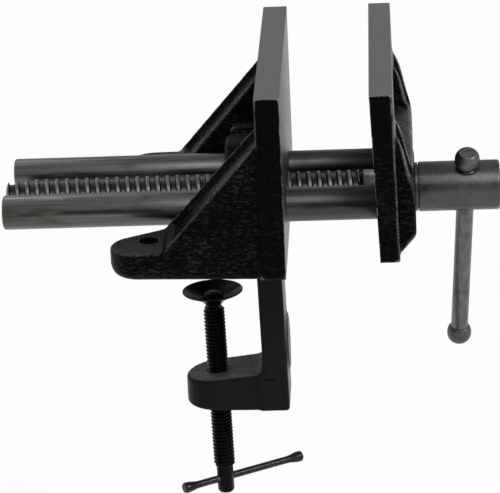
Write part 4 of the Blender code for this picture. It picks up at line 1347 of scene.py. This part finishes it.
def bar_profile(length, radius, chamfer, dimple_depth, dimple_radius):
    """Profile of a faced bar with a chamfer and a centre dimple at both ends."""
    half = [(dimple_depth, 0), (0, dimple_radius), (0, radius - chamfer)]
    half += [(chamfer * 0.35, radius - chamfer * 0.35), (chamfer, radius)]
    return half + [(length - distance, size) for distance, size in reversed(half)]


print("rod chamfers of", mm(rod_chamfer), "mm")

# %% Guide rods
for rod_name, side in zip(("guide_rod_near", "guide_rod_far"), rod_sides):
    low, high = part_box(rod_name)
    profile = bar_profile(high.x - low.x, rod_radius, rod_chamfer, centre_depth, centre_radius)
    shape = add_turned(bmesh.new(), profile, (low.x, side, rod_height), (1, 0, 0), 128)
    rod = to_object(shape, rod_name + "_bar", [rod_steel])
    dress(rod, "sliding_jaw", "turned_steel", rod_name)

# %% [markdown]
# ## Screw threads
# A thread is one cross-section wound round an axis, which suits Geometry Nodes: a grid is bent into a
# cylinder whose rows climb one pitch per turn, and each row's place in the pitch sets its radius. The same
# tree makes the coarse thread of the main screw and the fine one of the bench clamp.


# %% Inputs of a thread
thread_values = ("Length", "Crest Radius", "Depth", "Pitch", "Run Out", "Flank", "Crest")
thread_counts = ("Sides", "Rows")


def thread_inputs(tree):
    """The sockets that a thread is described by."""
    face = tree.interface
    face.new_socket("Geometry", in_out="OUTPUT", socket_type="NodeSocketGeometry")
    for name in thread_values:
        face.new_socket(name, in_out="INPUT", socket_type="NodeSocketFloat")
    for name in thread_counts:
        face.new_socket(name, in_out="INPUT", socket_type="NodeSocketInt")
    face.new_socket("Finish", in_out="INPUT", socket_type="NodeSocketMaterial")
    return tree.nodes.new("NodeGroupInput").outputs


print("inputs of a thread:", ", ".join((*thread_values, *thread_counts)))


# %% Where a point of the thread lies
def wound_place(tree, given, turns):
    """Bends the flat grid, 1 wide each way, round the axis. Rows climb one pitch per turn."""
    def maths(operation, *values):
        return math_node(tree, operation, *values)

    place = tree.nodes.new("GeometryNodeInputPosition")
    split = tree.nodes.new("ShaderNodeSeparateXYZ")
    tree.links.new(place.outputs[0], split.inputs[0])
    climb = maths("MULTIPLY", maths("ADD", split.outputs[0], 0.5), turns)
    round_share = maths("ADD", split.outputs[1], 0.5)
    wound = maths("ADD", maths("SUBTRACT", climb, 2), round_share)
    reach = maths("MULTIPLY", wound, given["Pitch"])
    kept = maths("MINIMUM", maths("MAXIMUM", reach, 0), given["Length"])
    phase = maths("FRACT", climb)
    rise = ramp_node(tree, phase, 0, given["Flank"], 0, 1)
    top_end = maths("ADD", given["Flank"], given["Crest"])
    fall = ramp_node(tree, phase, top_end, maths("ADD", top_end, given["Flank"]), 1, 0)
    fade_in = maths("DIVIDE", kept, given["Run Out"])
    fade_out = maths("DIVIDE", maths("SUBTRACT", given["Length"], kept), given["Run Out"])
    fade = maths("MINIMUM", maths("MINIMUM", fade_in, fade_out), 1)
    height = maths("MULTIPLY", maths("MULTIPLY", rise, fall), fade)
    root = maths("SUBTRACT", given["Crest Radius"], given["Depth"])
    radius = maths("ADD", root, maths("MULTIPLY", height, given["Depth"]))
    angle = maths("MULTIPLY", round_share, 2 * math.pi)
    spot = tree.nodes.new("ShaderNodeCombineXYZ")
    tree.links.new(maths("MULTIPLY", radius, maths("COSINE", angle)), spot.inputs[0])
    tree.links.new(maths("MULTIPLY", radius, maths("SINE", angle)), spot.inputs[1])
    tree.links.new(kept, spot.inputs[2])
    return spot.outputs[0]


# %% Thread tree
def thread_tree():
    """Makes the grid, winds it, welds its seam and gives it its finish."""
    tree = bpy.data.node_groups.new("screw_thread", "GeometryNodeTree")
    tree.is_modifier = True
    given = thread_inputs(tree)
    whole_turns = math_node(tree, "CEIL", math_node(tree, "DIVIDE", given["Length"], given["Pitch"]))
    turns = math_node(tree, "ADD", whole_turns, 2)
    row_count = math_node(tree, "ADD", math_node(tree, "MULTIPLY", turns, given["Rows"]), 1)
    grid = tree.nodes.new("GeometryNodeMeshGrid")
    tree.links.new(row_count, grid.inputs["Vertices X"])
    tree.links.new(math_node(tree, "ADD", given["Sides"], 1), grid.inputs["Vertices Y"])
    wind = tree.nodes.new("GeometryNodeSetPosition")
    tree.links.new(grid.outputs["Mesh"], wind.inputs["Geometry"])
    tree.links.new(wound_place(tree, given, turns), wind.inputs["Position"])
    weld = tree.nodes.new("GeometryNodeMergeByDistance")
    weld.inputs["Distance"].default_value = 2 * weld_distance
    whole = tree.nodes.new("GeometryNodeRealizeInstances")
    paint = tree.nodes.new("GeometryNodeSetMaterial")
    tree.links.new(given["Finish"], paint.inputs["Material"])
    out = tree.nodes.new("NodeGroupOutput")
    for node, after in ((wind, weld), (weld, whole), (whole, paint), (paint, out)):
        tree.links.new(node.outputs["Geometry"], after.inputs["Geometry"])
    return tree


thread_nodes = thread_tree()
print("thread tree has", len(thread_nodes.nodes), "nodes")


# %% Winding a thread
def add_thread(shape, start, direction, sizes, first_angle=0.0):
    """Winds a thread with the tree and adds it to a bmesh, with its open ends closed."""
    holder = bpy.data.objects.new("thread", bpy.data.meshes.new("thread"))
    bpy.context.scene.collection.objects.link(holder)
    change = holder.modifiers.new("thread", "NODES")
    change.node_group = thread_nodes
    for socket in thread_nodes.interface.items_tree:
        if socket.in_out == "INPUT":
            change[socket.identifier] = sizes[socket.name]
    settled(holder)
    along, first, second = side_vectors(direction)
    turn = Matrix((first, second, along)).transposed().to_4x4()
    holder.data.transform(Matrix.Translation(start) @ turn @ Matrix.Rotation(first_angle, 4, "Z"))
    made = bmesh.new()
    made.from_mesh(holder.data)
    bmesh.ops.remove_doubles(made, verts=made.verts, dist=weld_distance)
    bmesh.ops.dissolve_degenerate(made, edges=made.edges, dist=weld_distance)
    bmesh.ops.holes_fill(made, edges=[edge for edge in made.edges if edge.is_boundary])
    wound = bpy.data.meshes.new("wound")
    made.to_mesh(wound)
    made.free()
    shape.from_mesh(wound)
    bpy.data.objects.remove(holder, do_unlink=True)
    return shape


print("threads are wound by", thread_nodes.name)

# %% [markdown]
# ## Main screw
# The main screw has a coarse trapezoidal thread, worn round on its crests, and a plain journal where it
# turns in the moving jaw. The thread is wound with the tree, and its tail and the journal are turned, with
# their ends inside the thread's core.

# %% Main thread
screw_low, screw_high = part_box("main_screw")
thread_sizes = {
    "Crest Radius": screw_radius,
    "Depth": 2.2 * millimetre,
    "Pitch": 4.6 * millimetre,
    "Run Out": 1.0 * millimetre,
    "Flank": 0.14,
    "Crest": 0.30,
    "Sides": 56,
    "Rows": 16,
    "Finish": screw_steel,
}
thread_start = screw_low.x + 0.2 * millimetre
thread_turn = math.radians(195.0)
thread_end = clamp_face_x + 33.5 * millimetre
thread_sizes["Length"] = thread_end - thread_start
print("main thread", mm(thread_sizes["Length"]), "mm long")

# %% Main screw
spigot_radius = 6.4 * millimetre
tail_places = (0, 0.5 * millimetre, 2.0 * millimetre)
tail_shares = (0.84, 0.97, 0.97)


def main_screw_shape():
    """The wound thread with a turned tail and a journal that fits the hub."""
    root = thread_sizes["Crest Radius"] - thread_sizes["Depth"]
    start = Vector((thread_start, 0, screw_height))
    shape = add_thread(bmesh.new(), start, (1, 0, 0), thread_sizes, thread_turn)
    tail = [(place, root * share) for place, share in zip(tail_places, tail_shares)]
    add_turned(shape, tail, (screw_low.x, 0, screw_height), (1, 0, 0), 56)
    shoulder = hub_low.x - 2 * fit_gap - thread_end
    journal = [
        (-1.0 * millimetre, root - 0.1 * millimetre),
        (0.6 * millimetre, screw_radius - 0.5 * millimetre),
        (1.1 * millimetre, screw_radius),
        (shoulder, screw_radius),
        (shoulder, spigot_radius),
        (screw_high.x - thread_end - 0.4 * millimetre, spigot_radius),
        (screw_high.x - thread_end, spigot_radius - 0.4 * millimetre),
    ]
    add_turned(shape, journal, (thread_end, 0, screw_height), (1, 0, 0), 72)
    return shape


main_thread = to_object(main_screw_shape(), "main_screw_thread", [screw_steel], 50.0)
dress(main_thread, "spindle", "turned_steel", "main_screw")

# %% [markdown]
# ## Hub
# The hub is a turned cylinder pinned on the screw's end, drilled across for the handle. A Boolean cut
# makes the cross hole, because its rim is a saddle curve that no profile gives. The hub's outer rim is
# rounded more than the inner one, which sits against the washer.

# %% Where the handle crosses the hub
handle_axis = Vector(joints["handle_slide"]["axis"])
bar_middle = middle_of("handle_bar")
bar_centre = bar_middle + handle_axis * ((screw_height - bar_middle.z) / handle_axis.z)
print("bar crosses the hub at x", mm(bar_centre.x, 2), "mm")

# %% Hub
hub_radius = (hub_high.y - hub_low.y) / 2
hub_round = 0.9 * millimetre
inner_share, outer_share = 0.6, 1.4
cross_hole_radius = 4.7 * millimetre
sink_step = 0.5 * millimetre
sink_depth = 0.9 * millimetre


def hub_shape():
    """A cylinder with two rounded rims and the lathe's centre in its outer end."""
    length = hub_high.x - hub_low.x
    profile = [(0, hub_radius - outer_share * hub_round)]
    profile += round_edge(0, hub_radius, inner_share * hub_round, 1)
    profile += round_edge(length, hub_radius, outer_share * hub_round, -1)
    profile += [(length, centre_radius * 1.3), (length - centre_depth, 0)]
    return add_turned(bmesh.new(), profile, (hub_low.x, 0, screw_height), (1, 0, 0), 128)


def hub_cutters():
    """The cross hole with its countersinks, the socket for the screw and the hole for the pin."""
    reach = 2 * hub_radius
    hole, rim = cross_hole_radius, sink_step
    cutters = [cylinder(bar_centre - handle_axis * reach, handle_axis, 2 * reach, hole)]
    for way in (-1, 1):
        start = bar_centre + handle_axis * way * (hub_radius - sink_depth)
        cone = [(0, hole - rim), (3 * rim, hole + 2 * rim), (6 * rim, hole + 2 * rim)]
        cutters.append(add_turned(bmesh.new(), cone, start, handle_axis * way, 72))
    socket = screw_high.x + fit_gap - hub_low.x + overrun
    socket_start = (hub_low.x - overrun, 0, screw_height)
    cutters.append(cylinder(socket_start, (1, 0, 0), socket, spigot_radius + fit_gap))
    low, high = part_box("hub_pin")
    middle = middle_of("hub_pin")
    outward = Vector((0, middle.y, middle.z - screw_height)).normalized()
    start = Vector((middle.x, 0, screw_height)) + outward * (spigot_radius - overrun)
    pin_radius = (high.x - low.x) / 2 + fit_gap
    cutters.append(cylinder(start, outward, 4 * overrun, pin_radius, 40))
    return cutters


hub = to_object(hub_shape(), "hub_body", [hub_steel, hub_steel])
machined(hub, hub_cutters())
dress(hub, "spindle", "turned_steel", "screw_hub")

# %% [markdown]
# ## Thrust washer
# A flat ring between hub and jaw takes the force when the vise is tightened. A plain ring with running
# gaps would let light through on both sides, which the photograph doesn't show. So this one has a shoulder
# that reaches to the hub, and it lies a hair's breadth off the jaw.

# %% Thrust washer
washer_low, washer_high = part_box("thrust_washer")
washer_edge = 0.15 * millimetre
washer_lip = 0.20 * millimetre
groove_radius = 10.2 * millimetre


def washer_shape():
    """A washer that lies close to the jaw, with a shoulder against the hub."""
    thick = washer_high.x - washer_low.x
    radius = washer_high.y
    bore = screw_radius + fit_gap
    hub_face = hub_low.x - washer_low.x
    profile = [
        (-washer_lip, bore),
        (-washer_lip, radius - washer_edge),
        (washer_edge - washer_lip, radius),
        (thick - washer_edge, radius),
        (thick, radius - washer_edge),
        (thick, groove_radius),
        (hub_face, groove_radius),
        (hub_face, bore),
    ]
    return add_turned(bmesh.new(), profile, (washer_low.x, 0, screw_height), (1, 0, 0), 96, ring=True)


dress(to_object(washer_shape(), "washer_ring", [hub_steel]), "spindle", "turned_steel", "thrust_washer")

# %% [markdown]
# ## Handle bar and knobs
# The bar is plain, and each end carries a barrel-shaped knob with a small flat on its end. Both knobs are
# turned from one profile, which is half a barrel and its mirror image.

# %% Handle bar
knob_length = 8.7 * millimetre
upper_reach = 15.2 * millimetre
lower_reach = 92.8 * millimetre
bar_radius = 4.0 * millimetre
bar_chamfer = 0.3 * millimetre
bar_length = upper_reach + lower_reach - knob_length - 2 * fit_gap
bar_start = bar_centre - handle_axis * (lower_reach - knob_length / 2 - fit_gap)
bar_outline = [
    (0, bar_radius - bar_chamfer),
    (bar_chamfer, bar_radius),
    (bar_length - bar_chamfer, bar_radius),
    (bar_length, bar_radius - bar_chamfer),
]
bar_shape = add_turned(bmesh.new(), bar_outline, bar_start, handle_axis, 96)
dress(to_object(bar_shape, "handle_shaft", [handle_steel]), "handle", "turned_steel", "handle_bar")

# %% Knobs
knob_radius = 5.7 * millimetre
knob_end_radius = 3.9 * millimetre
knob_shares = ((0.0, 0.0), (0.06, 0.30), (0.18, 0.70), (0.34, 0.94), (0.50, 1.0))


def knob_profile():
    """Barrel profile: flat ends, round middle."""
    half = [(knob_length * along, knob_end_radius + (knob_radius - knob_end_radius) * out)
            for along, out in knob_shares]
    whole = half + [(knob_length - distance, radius) for distance, radius in reversed(half[:-1])]
    return smoothed(whole, 4)


def add_knob(reach, way, name, node):
    """One knob, with its middle at a reach from the hub's axis."""
    start = bar_centre + handle_axis * way * (reach - knob_length / 2)
    shape = add_turned(bmesh.new(), knob_profile(), start, handle_axis * way, 72)
    knob = to_object(shape, name, [knob_steel])
    dress(knob, "handle", "turned_steel", node)


add_knob(upper_reach, 1, "knob_upper", "handle_knob_upper")
add_knob(lower_reach, -1, "knob_lower", "handle_knob_lower")

# %% [markdown]
# ## Bench clamp
# The clamp screw runs up through the arm and carries a dished pad on a riveted neck. Its lower end is a
# plain pin with a hole for the tommy bar. The thread comes from the same tree as the main one, with finer
# values and sharper crests.

# %% Clamp thread
clamp_sizes = {
    "Crest Radius": clamp_screw_radius,
    "Depth": 0.95 * millimetre,
    "Pitch": 1.76 * millimetre,
    "Run Out": 1.3 * millimetre,
    "Flank": 0.40,
    "Crest": 0.10,
    "Sides": 48,
    "Rows": 10,
    "Finish": blacked,
}
clamp_thread_top = -39.3 * millimetre
clamp_thread_foot = -119.2 * millimetre
clamp_sizes["Length"] = clamp_thread_top - clamp_thread_foot
print("clamp thread", mm(clamp_sizes["Length"]), "mm long")

# %% Clamp screw
clamp_pin_radius = 3.9 * millimetre
clamp_pin_foot = -132.6 * millimetre
clamp_pin_end = ((0, 0), (0.05, 0.45), (0.55, 0.82), (1.6, 1.0))
pin_overlap = 1.0 * millimetre
neck_overlap = 1.5 * millimetre
neck_chamfer = 0.4 * millimetre
pad_bore_radius = 2.8 * millimetre


def clamp_screw_shape():
    """The wound thread with its plain pin below and the neck for the pad above."""
    shape = add_thread(bmesh.new(), clamp_spot(clamp_thread_foot), clamp_axis, clamp_sizes)
    pin_length = clamp_thread_foot - clamp_pin_foot
    pin = smoothed([(along * millimetre, clamp_pin_radius * out) for along, out in clamp_pin_end], 4)
    pin += [(pin_length, clamp_pin_radius), (pin_length + pin_overlap, clamp_pin_radius)]
    add_turned(shape, pin, clamp_spot(clamp_pin_foot), clamp_axis, 64)
    neck_radius = pad_bore_radius - fit_gap
    neck_start = clamp_spot(clamp_thread_top - neck_overlap)
    neck_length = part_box("clamp_screw")[1].z - neck_start.z
    neck = [(0, neck_radius), (neck_length - neck_chamfer, neck_radius), (neck_length, neck_radius * 0.8)]
    add_turned(shape, neck, neck_start, clamp_axis, 48)
    return shape


clamp_thread = to_object(clamp_screw_shape(), "clamp_screw_thread", [blacked, blacked], 50.0)
print("clamp screw has", len(clamp_thread.data.polygons), "faces before it is drilled")

# %% Hole for the tommy bar
tommy_axis = Vector(joints["clamp_bar_slide"]["axis"])
tommy_centre = clamp_spot(-125.3 * millimetre)
tommy_radius = 1.72 * millimetre
tommy_hole = tommy_radius + fit_gap
tommy_reach = 2 * clamp_pin_radius
bore_start = tommy_centre - tommy_axis * tommy_reach
tommy_bore = cylinder(bore_start, tommy_axis, 2 * tommy_reach, tommy_hole, 48)
machined(clamp_thread, [tommy_bore], 50.0)
dress(clamp_thread, "bench_screw", "dark_steel", "clamp_screw")

# %% [markdown]
# ## Swivel pad and keeper
# The pad is a shallow dish that tips a little on the screw's neck, and the neck's end is riveted over so
# that it can't come off. Both are rings turned about the screw's axis.

# %% Swivel pad
pad_radius = 14.0 * millimetre
pad_height = 6.8 * millimetre
pad_rim = -31.0 * millimetre
pad_neck_radius = 4.0 * millimetre
pad_floor_share = 0.62
dish_shares = ((0.97, 0.00), (0.93, 0.03), (0.80, 0.20), (0.60, 0.40), (0.42, 0.54), (0.34, 0.61))
skirt_shares = (
    (1.00, 0.08),
    (0.93, 0.155),
    (0.74, 0.28),
    (0.52, 0.42),
    (0.26, 0.66),
    (0.10, 0.84),
    (0.00, 1.00),
)


def pad_shape():
    """A shallow dish over a cone that narrows to its neck."""
    inside = smoothed([(-pad_height * down, pad_radius * out) for out, down in dish_shares], 4)
    outside = smoothed([
        (-pad_height * down, pad_neck_radius + (pad_radius - pad_neck_radius) * out)
        for out, down in skirt_shares
    ], 4)
    loop = inside[::-1] + [(-0.02 * pad_height, pad_radius * 0.995)] + outside
    loop = [(-pad_height * pad_floor_share, pad_bore_radius)] + loop + [(-pad_height, pad_bore_radius)]
    return add_turned(bmesh.new(), loop, clamp_spot(pad_rim), clamp_axis, 96, ring=True)


dress(to_object(pad_shape(), "pad_dish", [blacked]), "swivel_pad", "dark_steel", "clamp_pad")

# %% Keeper
keeper_radius = 4.8 * millimetre
keeper_height = 2.9 * millimetre
keeper_edge = 0.2 * millimetre
keeper_shares = ((0.40, 0.96), (0.75, 0.80), (0.95, 0.62), (1.0, 0.54))
keeper_curve = [(keeper_edge, keeper_radius)]
keeper_curve += [(keeper_height * up, keeper_radius * out) for up, out in keeper_shares]
keeper_loop = [(0, pad_bore_radius), (0, keeper_radius - keeper_edge)] + smoothed(keeper_curve, 4)
keeper_loop.append((keeper_height, pad_bore_radius))
keeper_foot = clamp_spot(pad_rim - pad_height * pad_floor_share + fit_gap)
keeper_shape = add_turned(bmesh.new(), keeper_loop, keeper_foot, clamp_axis, 64, ring=True)
dress(to_object(keeper_shape, "keeper_rivet", [blacked]), "bench_screw", "turned_steel", "pad_keeper")

# %% [markdown]
# ## Tommy bar
# A thin rod through the screw's pin turns it by hand. Each end is swaged to a bead, so the bar slides from
# side to side and can't fall out. It stands off centre, as the last user left it.

# %% Tommy bar
tommy_short = 22.2 * millimetre
tommy_long = 41.2 * millimetre
bead_length = 8.0 * millimetre
tommy_start = tommy_centre - tommy_axis * (tommy_short - bead_length - fit_gap)
tommy_length = tommy_short + tommy_long - 2 * bead_length - 2 * fit_gap
tommy_shape = cylinder(tommy_start, tommy_axis, tommy_length, tommy_radius, 48)
dress(to_object(tommy_shape, "tommy_shaft", [highlit_rubbed_black]), "tommy", "dark_steel", "clamp_bar")

# %% Beads
bead_radius = 2.55 * millimetre
bead_shares = ((0.0, 0.685), (0.15, 0.71), (0.35, 0.81), (0.55, 0.93), (0.75, 1.0), (0.92, 0.98), (1.0, 0.82))


def add_bead(reach, way, name, node):
    """The swaged bead on one end of the bar."""
    start = tommy_centre + tommy_axis * way * (reach - bead_length)
    profile = smoothed([(bead_length * along, bead_radius * out) for along, out in bead_shares], 3)
    shape = add_turned(bmesh.new(), profile, start, tommy_axis * way, 48)
    dress(to_object(shape, name, [highlit_rubbed_black]), "tommy", "dark_steel", node)


frame_ends = sorted(
    ("clamp_bar_end_near", "clamp_bar_end_far"),
    key=lambda node: (middle_of(node) - tommy_centre).dot(tommy_axis),
)
add_bead(tommy_short, -1, "bead_short_side", frame_ends[0])
add_bead(tommy_long, 1, "bead_long_side", frame_ends[1])

# %% [markdown]
# ## Small pieces that stay as they are
# Pins, collar, set screw and nut have their true shape in the frame already and are all but hidden, so
# they only get a finish in place of the flat colour that they came with.

# %% Small pieces
small_finishes = {
    "main_nut": bronze,
    "nut_set_screw": blacked,
    "rod_pin_near": blacked,
    "rod_pin_far": blacked,
    "hub_pin": hub_steel,
    "screw_collar": blacked,
    "collar_pin": hub_steel,
}
for node_name, finish in small_finishes.items():
    for place_for_finish in frame["nodes"][node_name].material_slots:
        place_for_finish.material = finish
print("kept from the frame:", ", ".join(small_finishes))

low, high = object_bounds()
print("visual box in mm:", [round(v * 1000, 1) for v in (*low, *high)])
